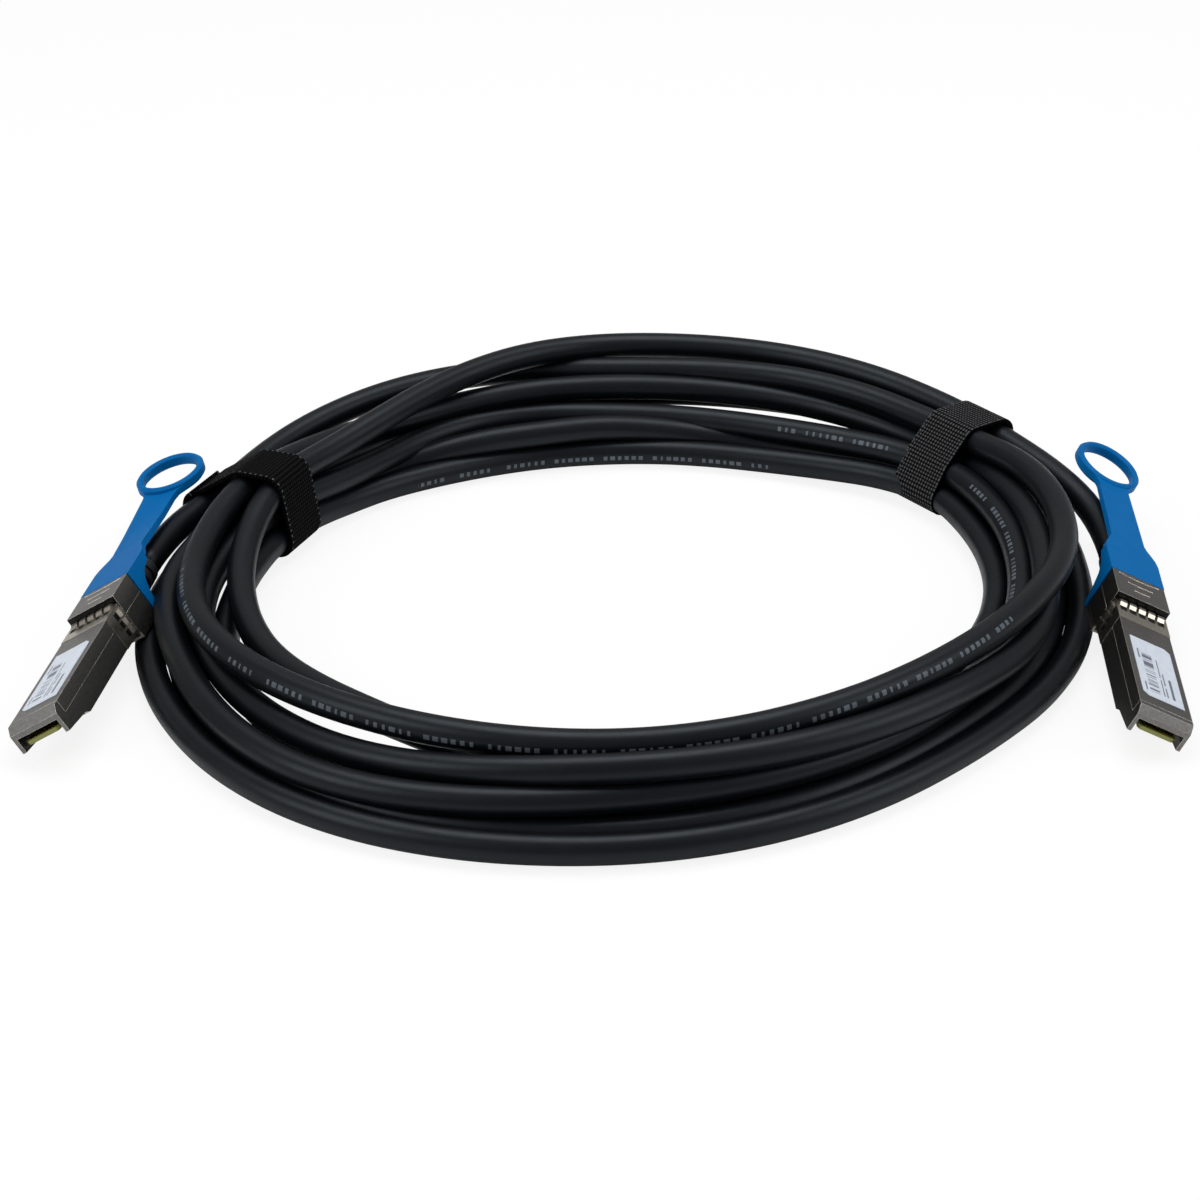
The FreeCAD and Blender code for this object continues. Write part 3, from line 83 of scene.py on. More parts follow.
# for each angle in degrees, the reach and height in mm of every turn that passes there; a turn
# leaves the back under the name that NEXT gives, and keeps it through the front into the back
BACK = {
    LEFT_TIE: {"start": (109.4, 10.5), "c": (98.6, 17.7), "d": (91.2, 17.9), "g": (91.2, 11.3),
               "f": (88.9, 5.4), "e": (95.9, 5.4), "a": (104.0, 5.4), "b": (98.4, 11.2)},
    140: {"start": (111.6, 13.6), "c": (98.8, 15.4), "d": (90.0, 18.9), "g": (88.0, 10.2),
          "f": (87.5, 3.4), "e": (94.5, 3.4), "a": (104.6, 3.6), "b": (98.5, 9.0)},
    130: {"start": (112.4, 15.6), "c": (98.8, 14.9), "d": (91.5, 21.2), "g": (90.8, 10.0),
          "f": (86.6, 3.4), "e": (94.0, 3.6), "a": (105.2, 3.4), "b": (99.5, 8.6)},
    120: {"start": (112.8, 16.9), "c": (98.5, 15.0), "d": (96.2, 22.4), "g": (94.6, 10.4),
          "f": (84.8, 3.4), "e": (88.2, 8.4), "a": (106.5, 3.4), "b": (100.8, 8.6)},
    105: {"start": (114.0, 16.6), "c": (99.8, 15.9), "d": (106.0, 23.6), "g": (97.8, 10.0),
          "f": (84.7, 3.4), "e": (84.6, 10.1), "a": (104.0, 3.4), "b": (104.5, 10.0)},
    90: {"start": (107.4, 18.0), "c": (100.8, 15.9), "d": (114.9, 22.2), "g": (94.5, 10.2),
         "f": (85.5, 3.4), "e": (87.2, 10.0), "a": (102.0, 4.6), "b": (107.0, 11.3)},
    60: {"start": (109.7, 19.4), "c": (107.5, 13.6), "d": (118.5, 21.3), "g": (95.0, 10.6),
         "f": (89.8, 3.8), "e": (96.8, 4.0), "a": (105.0, 4.2), "b": (113.8, 10.8)},
    RIGHT_TIE: {"start": (109.5, 18.0), "c": (110.0, 11.3), "d": (118.5, 17.9),
                "g": (103.0, 11.3), "f": (99.4, 5.4), "e": (106.4, 5.4), "a": (113.4, 5.4),
                "b": (117.0, 11.3)},
}
NEXT = {"start": "c", "c": "g", "g": "b", "b": "a", "a": "e", "e": "f", "f": "d"}
FRONT = {
    20: {"c": (111.5, 19.6), "g": (107.0, 13.6), "b": (101.2, 11.0), "d": (96.5, 4.8),
         "f": (103.5, 4.4), "e": (110.4, 4.2), "a": (115.5, 8.8)},
    0: {"c": (107.5, 18.8), "g": (102.5, 14.6), "b": (97.5, 10.3), "d": (92.3, 4.4),
        "f": (98.9, 3.6), "e": (105.6, 3.5), "a": (112.3, 3.4)},
    -20: {"c": (100.3, 20.3), "g": (102.5, 13.2), "b": (96.0, 9.9), "d": (88.0, 5.0),
          "f": (95.0, 3.4), "e": (101.9, 3.4), "a": (108.8, 3.4)},
    -45: {"c": (95.0, 20.4), "g": (100.0, 15.6), "b": (96.6, 9.9), "d": (89.8, 9.8),
          "f": (91.4, 3.4), "e": (98.2, 3.4), "a": (105.0, 3.4)},
    -90: {"c": (94.9, 18.0), "g": (101.8, 16.3), "b": (103.6, 10.1), "d": (96.5, 10.2),
          "f": (99.4, 3.5), "e": (106.2, 3.4), "a": (113.0, 3.4)},
    -125: {"c": (98.6, 18.0), "g": (104.3, 11.0), "b": (113.6, 9.4), "d": (91.5, 13.8),
           "f": (99.0, 3.6), "e": (110.6, 3.4), "a": (117.9, 3.4)},
    -158: {"c": (102.3, 16.7), "g": (101.2, 10.0), "b": (108.0, 10.0), "d": (89.5, 10.6),
           "f": (96.5, 3.6), "e": (106.8, 3.4), "a": (113.8, 3.4)},
    -180: {"c": (100.2, 15.2), "g": (97.6, 9.0), "b": (106.2, 9.9), "d": (90.0, 12.5),
           "f": (91.5, 4.4), "e": (102.6, 3.4), "a": (110.0, 3.4)},
}
CENTRE_X, CENTRE_Y, ASPECT = -0.175, 8.329, 0.98


def on_ring(angle, reach, height):
    """A point of the coil, in metres, from its angle, its distance from the axis and height."""
    turn = math.radians(angle)
    return Vector((CENTRE_X + reach * math.cos(turn),
                   CENTRE_Y + ASPECT * reach * math.sin(turn), height)) * MM


def turn_places():
    """Every named place that the cable passes, in order, as (angle run so far, reach, height)."""
    places, name, lap = [], "start", 0
    while True:
        for angle, lanes in BACK.items():
            places.append((angle - 360 * lap, *lanes[name]))
        if name not in NEXT:
            return places
        name = NEXT[name]
        for angle, lanes in FRONT.items():
            places.append((angle - 360 * lap, *lanes[name]))
        lap += 1


def between(places, angle):
    """Reach and height at an angle, on smooth cubics through the places."""
    for number in range(len(places) - 1):
        if places[number][0] >= angle >= places[number + 1][0]:
            break
    first, second = places[number], places[number + 1]
    before = places[max(number - 1, 0)]
    after = places[min(number + 2, len(places) - 1)]
    span = second[0] - first[0]
    share = (angle - first[0]) / span
    result = []
    for k in (1, 2):
        slope_1 = (second[k] - before[k]) / (second[0] - before[0]) * span
        slope_2 = (after[k] - first[k]) / (after[0] - first[0]) * span
        s2, s3 = share * share, share ** 3
        result.append((2 * s3 - 3 * s2 + 1) * first[k] + (s3 - 2 * s2 + share) * slope_1
                      + (3 * s2 - 2 * s3) * second[k] + (s3 - s2) * slope_2)
    return result


# degrees between the points that steer the coil and at its ends, and the lowest axis in mm
STEP, END_GAP = 10, 4
LOWEST_AXIS = 3.4
PLACES = turn_places()
COIL_END = PLACES[-1][0]
# a spline of order 3 runs inside the points that steer it; on a circle, by this share
PULL_IN = (6 + 2 * math.cos(math.radians(STEP))) / 8
inner_angles = range(LEFT_TIE - END_GAP - STEP, COIL_END + END_GAP, -STEP)
coil_points = []
for angle in (LEFT_TIE, *inner_angles, COIL_END):
    reach, height = between(PLACES, angle)
    coil_points.append(on_ring(angle, reach / PULL_IN, max(height, LOWEST_AXIS)))

# each tail runs straight out of its boot for this many mm, and tail b has one more bend
TAIL_STRAIGHT = 17
TAIL_B_BEND = Vector((113.89, 52.36, 14.5)) * MM
tail_a = [behind_boot("a", 0), behind_boot("a", TAIL_STRAIGHT)]
tail_b = [TAIL_B_BEND, behind_boot("b", TAIL_STRAIGHT), behind_boot("b", 0)]
route = tail_a + coil_points + tail_b


def smooth_line(name, points, fineness):
    """Points along one smooth spline that the given points steer."""
    data = bpy.data.curves.new(name, "CURVE")
    data.dimensions = "3D"
    data.resolution_u = fineness
    spline = data.splines.new("NURBS")
    spline.points.add(len(points) - 1)
    for point, place in zip(spline.points, points):
        point.co = (*place, 1)
    spline.order_u = 3
    spline.use_endpoint_u = True
    holder = bpy.data.objects.new(name, data)
    bpy.context.scene.collection.objects.link(holder)
    bpy.context.view_layer.update()
    mesh = bpy.data.meshes.new_from_object(holder.evaluated_get(
        bpy.context.evaluated_depsgraph_get()))
    line = [v.co.copy() for v in mesh.vertices]
    bpy.data.objects.remove(holder)
    bpy.data.meshes.remove(mesh)
    return line


# ---------------------------------------------------------------- material helpers
def new_material(name):
    """A material with one Principled surface; its node tree and that node come back too."""
    material = bpy.data.materials.new(name)
    material.use_nodes = True
    tree = material.node_tree
    return material, tree, tree.nodes["Principled BSDF"]


def add(tree, kind, **settings):
    """A new node with these settings."""
    node = tree.nodes.new(kind)
    for key, value in settings.items():
        setattr(node, key, value)
    return node


def math_node(tree, operation, first, second=None, third=None):
    """The result of a maths node; each operand is a number or another node's output."""
    node = add(tree, "ShaderNodeMath", operation=operation)
    for socket, value in zip(node.inputs, (first, second, third)):
        if value is None:
            continue
        if isinstance(value, (int, float)):
            socket.default_value = value
        else:
            tree.links.new(value, socket)
    return node.outputs[0]


def bump_from(tree, surface, height, strength, distance):
    """Let a height roughen the surface's normals."""
    bump = add(tree, "ShaderNodeBump")
    bump.inputs["Strength"].default_value = strength
    bump.inputs["Distance"].default_value = distance
    tree.links.new(height, bump.inputs["Height"])
    tree.links.new(bump.outputs[0], surface.inputs["Normal"])


def noise(tree, vector, scale, detail=3.0, roughness=0.55):
    """Cloudy noise from 0 to 1 over the given coordinates."""
    node = add(tree, "ShaderNodeTexNoise")
    node.inputs["Scale"].default_value = scale
    node.inputs["Detail"].default_value = detail
    node.inputs["Roughness"].default_value = roughness
    tree.links.new(vector, node.inputs["Vector"])
    return node.outputs["Fac"]


def ramp(tree, factor, stops):
    """Colours laid over a factor; stops are pairs of place and colour."""
    node = add(tree, "ShaderNodeValToRGB")
    elements = node.color_ramp.elements
    while len(elements) < len(stops):
        elements.new(0.5)
    for element, (place, colour) in zip(elements, stops):
        element.position = place
        element.color = (*colour, 1)
    tree.links.new(factor, node.inputs[0])
    return node.outputs[0]


def painted(tree, factor, under, colour, **settings):
    """One fixed colour laid over another output, as strongly as the factor says."""
    mix = add(tree, "ShaderNodeMix", data_type="RGBA", **settings)
    tree.links.new(factor, mix.inputs["Factor"])
    tree.links.new(under, mix.inputs["A"])
    mix.inputs["B"].default_value = (*colour, 1)
    return mix.outputs["Result"]


def object_coordinates(tree):
    """Coordinates in metres, in the object's own frame."""
    return add(tree, "ShaderNodeTexCoord").outputs["Object"]


def mapped_coordinates(tree):
    """The map laid on the cable and the tapes: all of it, and its two parts."""
    place = add(tree, "ShaderNodeUVMap", uv_map="along").outputs[0]
    parts = add(tree, "ShaderNodeSeparateXYZ")
    tree.links.new(place, parts.inputs[0])
    return place, parts.outputs[0], parts.outputs[1]


def shaded(colour, factor):
    """A colour made darker or brighter."""
    return tuple(part * factor for part in colour)


def plug_coordinates(tree, tag):
    """Millimetres in the plug's own frame: along the nose, across and up."""
    mapping = add(tree, "ShaderNodeMapping", vector_type="TEXTURE")
    mapping.inputs["Location"].default_value = PLUGS[tag]["place"] * MM
    mapping.inputs["Rotation"].default_value = PLUGS[tag]["euler"]
    mapping.inputs["Scale"].default_value = (MM, MM, MM)
    tree.links.new(object_coordinates(tree), mapping.inputs["Vector"])
    parts = add(tree, "ShaderNodeSeparateXYZ")
    tree.links.new(mapping.outputs[0], parts.inputs[0])
    return mapping.outputs[0], parts.outputs


# ---------------------------------------------------------------- materials
# millimetres: the jacket's girth, and the pitch and half the height of the legend's blocks
GIRTH = 21.36
LEGEND_PITCH, LEGEND_HALF_HEIGHT = 1.95, 0.6
LEGEND_COLOUR = (0.155, 0.185, 0.215)


def jacket_material(windows):
    """Matt black jacket with a legend of plain blocks in the windows, given along the cable."""
    material, tree, surface = new_material("black jacket")
    place, along, around = mapped_coordinates(tree)
    # one block to each place, of uneven width, with a blank now and then
    cell = math_node(tree, "FLOOR", math_node(tree, "DIVIDE", along, LEGEND_PITCH))
    within = math_node(tree, "SUBTRACT", along,
                       math_node(tree, "MULTIPLY", cell, LEGEND_PITCH))
    high = math_node(tree, "MULTIPLY", math_node(tree, "SUBTRACT", around, 0.5), GIRTH)
    picks = add(tree, "ShaderNodeTexWhiteNoise", noise_dimensions="1D")
    tree.links.new(cell, picks.inputs["W"])
    half_width = math_node(tree, "MULTIPLY_ADD", picks.outputs["Value"], 0.45, 0.28)
    wide = math_node(tree, "COMPARE", within, LEGEND_PITCH / 2, half_width)
    tall = math_node(tree, "COMPARE", high, 0.0, LEGEND_HALF_HEIGHT)
    blank_cycle = math_node(tree, "MULTIPLY", math_node(tree, "ADD", cell, 0.5), 0.1417)
    filled = math_node(tree, "GREATER_THAN", math_node(tree, "FRACT", blank_cycle), 0.16)
    ink = math_node(tree, "MULTIPLY", math_node(tree, "MULTIPLY", wide, tall), filled)
    printed = None
    for start, end in windows:
        window = math_node(tree, "COMPARE", along, (start + end) / 2, (end - start) / 2)
        printed = window if printed is None else math_node(tree, "MAXIMUM", printed, window)
    ink = math_node(tree, "MULTIPLY", ink, printed)
    worn = math_node(tree, "MULTIPLY_ADD", noise(tree, place, 0.08, 2.0), 0.8, 0.12)
    ink = math_node(tree, "MULTIPLY", ink, worn)
    coordinates = object_coordinates(tree)
    base = ramp(tree, noise(tree, coordinates, 60, 3.0),
                [(0.3, (0.0017, 0.0021, 0.0030)), (0.7, (0.0029, 0.0035, 0.0050))])
    tree.links.new(painted(tree, ink, base, LEGEND_COLOUR), surface.inputs["Base Color"])
    rough = math_node(tree, "MULTIPLY_ADD", noise(tree, coordinates, 220, 4.0), 0.14, 0.33)
    tree.links.new(rough, surface.inputs["Roughness"])
    surface.inputs["Specular IOR Level"].default_value = 0.25
    surface.inputs["Specular Tint"].default_value = (0.80, 0.90, 1.0, 1)
    bump_from(tree, surface, noise(tree, coordinates, 900, 4.0, 0.6), 0.25, 0.00012)
    return material


# the tape, its threads and the stitches along its edges, in millimetres
TAPE_WIDTH, THREAD_PITCH = 15.0, 1.9
STITCH_INSET, STITCH_HALF_WIDTH, STITCH_PITCH = 0.5, 0.28, 1.5
STITCH_COLOUR = (0.075, 0.08, 0.088)


def weave_material(name, brightness):
    """Woven hook-and-loop tape: a square grid of threads with a fuzzy, dull surface."""
    material, tree, surface = new_material(name)
    _, along, across = mapped_coordinates(tree)
    waves = []
    for output in (along, across):
        turn = math_node(tree, "MULTIPLY", output, 2 * math.pi / THREAD_PITCH)
        waves.append(math_node(tree, "ABSOLUTE", math_node(tree, "SINE", turn)))
    grid = math_node(tree, "MULTIPLY", waves[0], waves[1])
    fuzz = noise(tree, object_coordinates(tree), 2600, 4.0, 0.7)
    level = math_node(tree, "MULTIPLY_ADD", fuzz, 0.5, grid)
    colour = ramp(tree, level, [(0.3, (0.0004, 0.0004, 0.0004)),
                                (0.75, shaded((0.18, 0.18, 0.19), brightness)),
                                (1.0, shaded((1.0, 1.0, 1.06), brightness))])
    # pale thread ends along both edges
    aside = math_node(tree, "ABSOLUTE", math_node(tree, "SUBTRACT", across, TAPE_WIDTH / 2))
    edges = math_node(tree, "COMPARE", aside, TAPE_WIDTH / 2 - STITCH_INSET, STITCH_HALF_WIDTH)
    cycle = math_node(tree, "FRACT", math_node(tree, "DIVIDE", along, STITCH_PITCH))
    stitches = math_node(tree, "MULTIPLY", edges, math_node(tree, "LESS_THAN", cycle, 0.3))
    tree.links.new(painted(tree, stitches, colour, STITCH_COLOUR),
                   surface.inputs["Base Color"])
    surface.inputs["Roughness"].default_value = 0.85
    surface.inputs["Specular IOR Level"].default_value = 0.04
    bump_from(tree, surface, level, 0.9, 0.00035)
    return material


# painted shade darkens the recess behind the collar's fingers; its middle and half length in mm,
# then how strongly the shade is painted
RECESS_ALONG, RECESS_HALF_LENGTH, RECESS_SHADE_STRENGTH = -43.2, 4.0, 0.9
RECESS_SHADE_COLOUR = (0.004, 0.004, 0.004)
# how far the painted highlight along the edges reaches, in mm, and how strongly it shows
EDGE_HIGHLIGHT_RADIUS, EDGE_HIGHLIGHT_STRENGTH = 0.10, 20.0


def nickel_material(name, shade, roughness, grain=0.08, edge=None, tag=None):
    """Plated casting with fine orange peel and slightly uneven gloss.

    An edge colour paints a highlight along the edges, and a plug's tag paints shade into its
    recess behind the collar.
    """
    material, tree, surface = new_material(name)
    coordinates = object_coordinates(tree)
    tone = ramp(tree, noise(tree, coordinates, 1900, 2.0),
                [(0.3, shaded(shade, 0.78)), (0.7, shaded(shade, 1.1))])
    if tag:
        along = plug_coordinates(tree, tag)[1][0]
        # painted shade: the stretch behind the collar's fingers is darkened towards the shade
        # colour
        recess_shade_mask = math_node(tree, "COMPARE", along, RECESS_ALONG, RECESS_HALF_LENGTH)
        tone = painted(tree, math_node(tree, "MULTIPLY", recess_shade_mask, RECESS_SHADE_STRENGTH), tone,
                       RECESS_SHADE_COLOUR)
    if edge:
        # painted highlight: the edge colour is laid where the rounded normal parts from the true
        # one
        rounded = add(tree, "ShaderNodeBevel", samples=6)
        rounded.inputs["Radius"].default_value = EDGE_HIGHLIGHT_RADIUS * MM
        flat = add(tree, "ShaderNodeNewGeometry")
        alike = add(tree, "ShaderNodeVectorMath", operation="DOT_PRODUCT")
        tree.links.new(rounded.outputs[0], alike.inputs[0])
        tree.links.new(flat.outputs["True Normal"], alike.inputs[1])
        apart = math_node(tree, "SUBTRACT", 1.0, alike.outputs["Value"])
        edge_highlight_mask = math_node(tree, "MULTIPLY", apart, EDGE_HIGHLIGHT_STRENGTH)
        tone = painted(tree, edge_highlight_mask, tone, edge, clamp_factor=True)
    tree.links.new(tone, surface.inputs["Base Color"])
    surface.inputs["Metallic"].default_value = 1.0
    gloss = math_node(tree, "MULTIPLY_ADD", noise(tree, coordinates, 700, 4.0), 0.14,
                      roughness - 0.07)
    tree.links.new(gloss, surface.inputs["Roughness"])
    bump_from(tree, surface, noise(tree, coordinates, 3200, 3.0, 0.6), grain, 0.0001)
    return material


def plain_material(name, shade, roughness, metallic=0.0, specular=0.5, scale=400, depth=0.15):
    """One colour, with slightly uneven tone and gloss and a fine grain."""
    material, tree, surface = new_material(name)
    coordinates = object_coordinates(tree)
    tone = ramp(tree, noise(tree, coordinates, scale / 3, 3.0),
                [(0.2, shaded(shade, 0.9)), (0.8, shade)])
    tree.links.new(tone, surface.inputs["Base Color"])
    surface.inputs["Metallic"].default_value = metallic
    surface.inputs["Specular IOR Level"].default_value = specular
    gloss = math_node(tree, "MULTIPLY_ADD", noise(tree, coordinates, scale, 3.0), 0.1,
                      roughness - 0.05)
    tree.links.new(gloss, surface.inputs["Roughness"])
    bump_from(tree, surface, noise(tree, coordinates, scale * 5, 3.0), depth, 0.0001)
    return material


# bars of the label, in millimetres: from and to behind the nose, from and to across
LABEL_BARS = [(9.0, 17.5, 2.6, 3.3), (9.0, 13.0, 1.2, 1.55), (14.0, 19.0, 1.2, 1.55),
              (9.0, 16.0, 0.4, 0.7), (17.0, 24.5, 0.4, 0.7), (9.0, 12.5, -4.2, -3.8),
              (22.5, 26.5, -4.2, -3.8)]
LABEL_CODE, CODE_LINES_PER_MM = (9.0, 25.5, -3.2, -0.6), 3.6
LABEL_INK = (0.12, 0.13, 0.17)


def label_material(tag):
    """Pale sticker with plain grey bars and a row of fine lines in place of its print."""
    material, tree, surface = new_material("label " + tag)
    vector, (along, across, _) = plug_coordinates(tree, tag)
    back = math_node(tree, "MULTIPLY", along, -1)

    def bar(low_x, high_x, low_y, high_y):
        inside = math_node(tree, "COMPARE", back, (low_x + high_x) / 2, (high_x - low_x) / 2)
        level = math_node(tree, "COMPARE", across, (low_y + high_y) / 2, (high_y - low_y) / 2)
        return math_node(tree, "MULTIPLY", inside, level)

    lines = add(tree, "ShaderNodeTexWhiteNoise", noise_dimensions="1D")
    tree.links.new(math_node(tree, "FLOOR", math_node(tree, "MULTIPLY", back,
                                                      CODE_LINES_PER_MM)), lines.inputs["W"])
    ink = math_node(tree, "MULTIPLY", bar(*LABEL_CODE),
                    math_node(tree, "GREATER_THAN", lines.outputs["Value"], 0.5))
    for sides in LABEL_BARS:
        ink = math_node(tree, "MAXIMUM", ink, bar(*sides))
    paper = ramp(tree, noise(tree, vector, 0.5, 2.0),
                 [(0.2, (0.50, 0.55, 0.63)), (0.8, (0.60, 0.65, 0.72))])
    tree.links.new(painted(tree, ink, paper, LABEL_INK), surface.inputs["Base Color"])
    surface.inputs["Roughness"].default_value = 0.38
    return material


# ---------------------------------------------------------------- mesh helpers
def mapped_object(name, points, faces, maps):
    """An object from points and faces, with a map given for each corner of each face."""
    mesh = bpy.data.meshes.new(name)
    mesh.from_pydata(points, [], faces)
    layer = mesh.uv_layers.new(name="along")
    for loop, place in zip(layer.data, maps):
        loop.uv = place
    mesh.update()
    item = bpy.data.objects.new(name, mesh)
    bpy.context.scene.collection.objects.link(item)
    return item


def select_only(item):
    """Make this the one selected and active object."""
    bpy.ops.object.select_all(action="DESELECT")
    item.select_set(True)
    bpy.context.view_layer.objects.active = item


def finish_modifier(item, kind, **settings):
    """Add one modifier and apply it."""
    select_only(item)
    modifier = item.modifiers.new(kind.lower(), kind)
    for key, value in settings.items():
        setattr(modifier, key, value)
    bpy.ops.object.modifier_apply(modifier=modifier.name)


def redressed(item, finish):
    """Give the object this one material."""
    item.data.materials.clear()
    item.data.materials.append(finish)


# ---------------------------------------------------------------- the cable
FINENESS = 6
line = smooth_line("cable route", route, FINENESS)
distances = [0.0]
for start, end in zip(line, line[1:]):
    distances.append(distances[-1] + (end - start).length)
run_mm = [distance * 1000 for distance in distances]

# metres along the cable, each way from where a place should lie
SEARCH = 0.25


def coil_distance(lap, angle):
    """How far along the cable a place of the coil lies, in millimetres."""
    target = angle - 360 * lap
    place = on_ring(target, *between(PLACES, target))
    about = (LEFT_TIE - target) / (LEFT_TIE - COIL_END) * distances[-1]
    best = min((n for n, run in enumerate(distances) if about - SEARCH < run < about + SEARCH),
               key=lambda n: (line[n] - place).length)
    return run_mm[best]


# side of the jacket that carries the print: (lap, angle, degrees from outward towards up)
PRINT_SIDE = [(0, 0, 80), (0, -50, 30), (0, -78, 2), (0, -112, 0), (0, -140, 24), (0, -175, 52),
              (1, 120, 270), (1, -170, 270),
              (2, 130, 140), (2, 90, 152), (2, 50, 150), (2, 10, 128), (2, -30, 128),
              (3, 120, 270), (5, -170, 270), (6, 120, 184), (6, 60, 188), (6, 0, 120)]
# stretches of the cable that carry it: (lap, first angle, last angle)
PRINT_WINDOWS = [(0, -28, -172), (2, 63, 42), (2, 28, -12), (6, 128, 62)]
side_keys = [(coil_distance(lap, angle), side) for lap, angle, side in PRINT_SIDE]
windows = [(coil_distance(lap, first), coil_distance(lap, last))
           for lap, first, last in PRINT_WINDOWS]


def print_side(along):
    """Which side of the jacket carries the print at a distance, with smooth turns between."""
    if along <= side_keys[0][0]:
        return side_keys[0][1]
    for (start, first), (end, second) in zip(side_keys, side_keys[1:]):
        if along <= end:
            share = (along - start) / (end - start)
            return first + (second - first) * share * share * (3 - 2 * share)
    return side_keys[-1][1]


SIDES = 20


def cable_tube():
    """Round jacket along the route, its map laid out in millimetres along and turns around."""
    up = Vector((0, 0, 1))
    points, faces, maps = [], [], []
    for number, place in enumerate(line):
        ahead = line[min(number + 1, len(line) - 1)]
        behind = line[max(number - 1, 0)]
        heading = (ahead - behind).normalized()
        outward = up.cross(heading).normalized()
        lift = heading.cross(outward).normalized()
        first = math.radians(print_side(run_mm[number])) - math.pi
        for side in range(SIDES):
            turn = first + 2 * math.pi * side / SIDES
            points.append(place + (outward * math.cos(turn) + lift * math.sin(turn))
                          * (DIAMETER / 2))
    for ring in range(len(line) - 1):
        near, far = run_mm[ring], run_mm[ring + 1]
        here, there = ring * SIDES, (ring + 1) * SIDES
        for side in range(SIDES):
            beside = (side + 1) % SIDES
            faces.append((here + side, here + beside, there + beside, there + side))
            low, high = side / SIDES, (side + 1) / SIDES
            maps += [(near, low), (near, high), (far, high), (far, low)]
    for ring, order in ((0, range(SIDES - 1, -1, -1)), (len(line) - 1, range(SIDES))):
        faces.append(tuple(ring * SIDES + side for side in order))
        maps += [(run_mm[ring], 0.0)] * SIDES
    item = mapped_object("cable", points, faces, maps)
    item.data.polygons.foreach_set("use_smooth", [True] * len(faces))
    item.data.update()
    return item


cable = cable_tube()
cable.data.materials.append(jacket_material(windows))
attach(cable, "cable_and_shells")
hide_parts("cable_coil", "cable_tail_a", "cable_tail_b")


# ---------------------------------------------------------------- hook-and-loop ties
def bend(a, b, c):
    """Above zero where the way from a past b to c turns left."""
    return (b[0] - a[0]) * (c[1] - a[1]) - (b[1] - a[1]) * (c[0] - a[0])


def hull(points):
    """Convex outline of flat points, counter-clockwise."""
    points = sorted(points)

    def half(items):
        chain = []
        for place in items:
            while len(chain) > 1 and bend(chain[-2], chain[-1], place) <= 0:
                chain.pop()
            chain.append(place)
        return chain[:-1]

    return half(points) + half(points[::-1])


# the tape lies this far from the axes of the turns, in mm, on circles of so many points
RIM_RADIUS, RIM_POINTS = 3.55, 36
TAPE_STEPS, TAPE_COLUMNS = 96, 8
TAPE_THICK, TAPE_BEVEL, TAPE_LOWEST = 1.1, 0.25, 1.0
TAPE_SMOOTH_BELOW = 35
# the lap climbs on the start of the tape: after this share of a turn, by this many mm, in steps
LAP_START, LAP_RISE, LAP_STEPS = 0.985, 1.15, 6


def tie_rim(angle):
    """Outline round all turns of the bundle at an angle, and the distance run at each corner."""
    circle = [n * math.pi / (RIM_POINTS / 2) for n in range(RIM_POINTS)]
    rim = hull([(reach + RIM_RADIUS * math.cos(turn), height + RIM_RADIUS * math.sin(turn))
                for reach, height in BACK[angle].values() for turn in circle])
    lengths = [0.0]
    for p, q in zip(rim, rim[1:] + rim[:1]):
        lengths.append(lengths[-1] + math.hypot(q[0] - p[0], q[1] - p[1]))
    return rim, lengths


def rim_place(rim, lengths, distance):
    """The place on an outline after a distance."""
    for n in range(len(rim)):
        if lengths[n] <= distance <= lengths[n + 1]:
            break
    p, q = rim[n], rim[(n + 1) % len(rim)]
    share = (distance - lengths[n]) / max(lengths[n + 1] - lengths[n], 1e-9)
    return p[0] + (q[0] - p[0]) * share, p[1] + (q[1] - p[1]) * share


def tie(name, angle, start_share, overlap, slope):
    """Tape wrapped once round the bundle, its end laid over its start."""
    rim, lengths = tie_rim(angle)
    total = lengths[-1]
    centre = (sum(p[0] for p in rim) / len(rim), sum(p[1] for p in rim) / len(rim))
    turn = math.radians(angle)
    along = Vector((-math.sin(turn), ASPECT * math.cos(turn), 0)).normalized()
    steps = int(TAPE_STEPS * (1 + overlap))
    points, faces, maps = [], [], []
    for step in range(steps + 1):
        travelled = start_share * total + step / TAPE_STEPS * total
        reach, height = rim_place(rim, lengths, travelled % total)
        out = Vector((reach - centre[0], height - centre[1])).normalized()
        lifted = max(0.0, min(1.0, (step - TAPE_STEPS * LAP_START) / LAP_STEPS)) * LAP_RISE
        reach += out[0] * lifted
        height = max(height + out[1] * lifted, TAPE_LOWEST)
        for column in range(TAPE_COLUMNS + 1):
            aside = ((column / TAPE_COLUMNS - 0.5) * TAPE_WIDTH
                     + slope * (step / TAPE_STEPS - 0.5))
            points.append(on_ring(angle, reach, height) + along * aside * MM)
    for step in range(steps):
        near, far = step * total / TAPE_STEPS, (step + 1) * total / TAPE_STEPS
        for column in range(TAPE_COLUMNS):
            here = step * (TAPE_COLUMNS + 1) + column
            there = here + TAPE_COLUMNS + 1
            faces.append((here, here + 1, there + 1, there))
            low, high = (side * TAPE_WIDTH / TAPE_COLUMNS for side in (column, column + 1))
            maps += [(near, low), (near, high), (far, high), (far, low)]
    item = mapped_object(name, points, faces, maps)
    finish_modifier(item, "SOLIDIFY", thickness=TAPE_THICK * MM, offset=1.0)
    finish_modifier(item, "BEVEL", width=TAPE_BEVEL * MM, segments=2, limit_method="ANGLE")
    bpy.ops.object.shade_smooth_by_angle(angle=math.radians(TAPE_SMOOTH_BELOW))
    return item


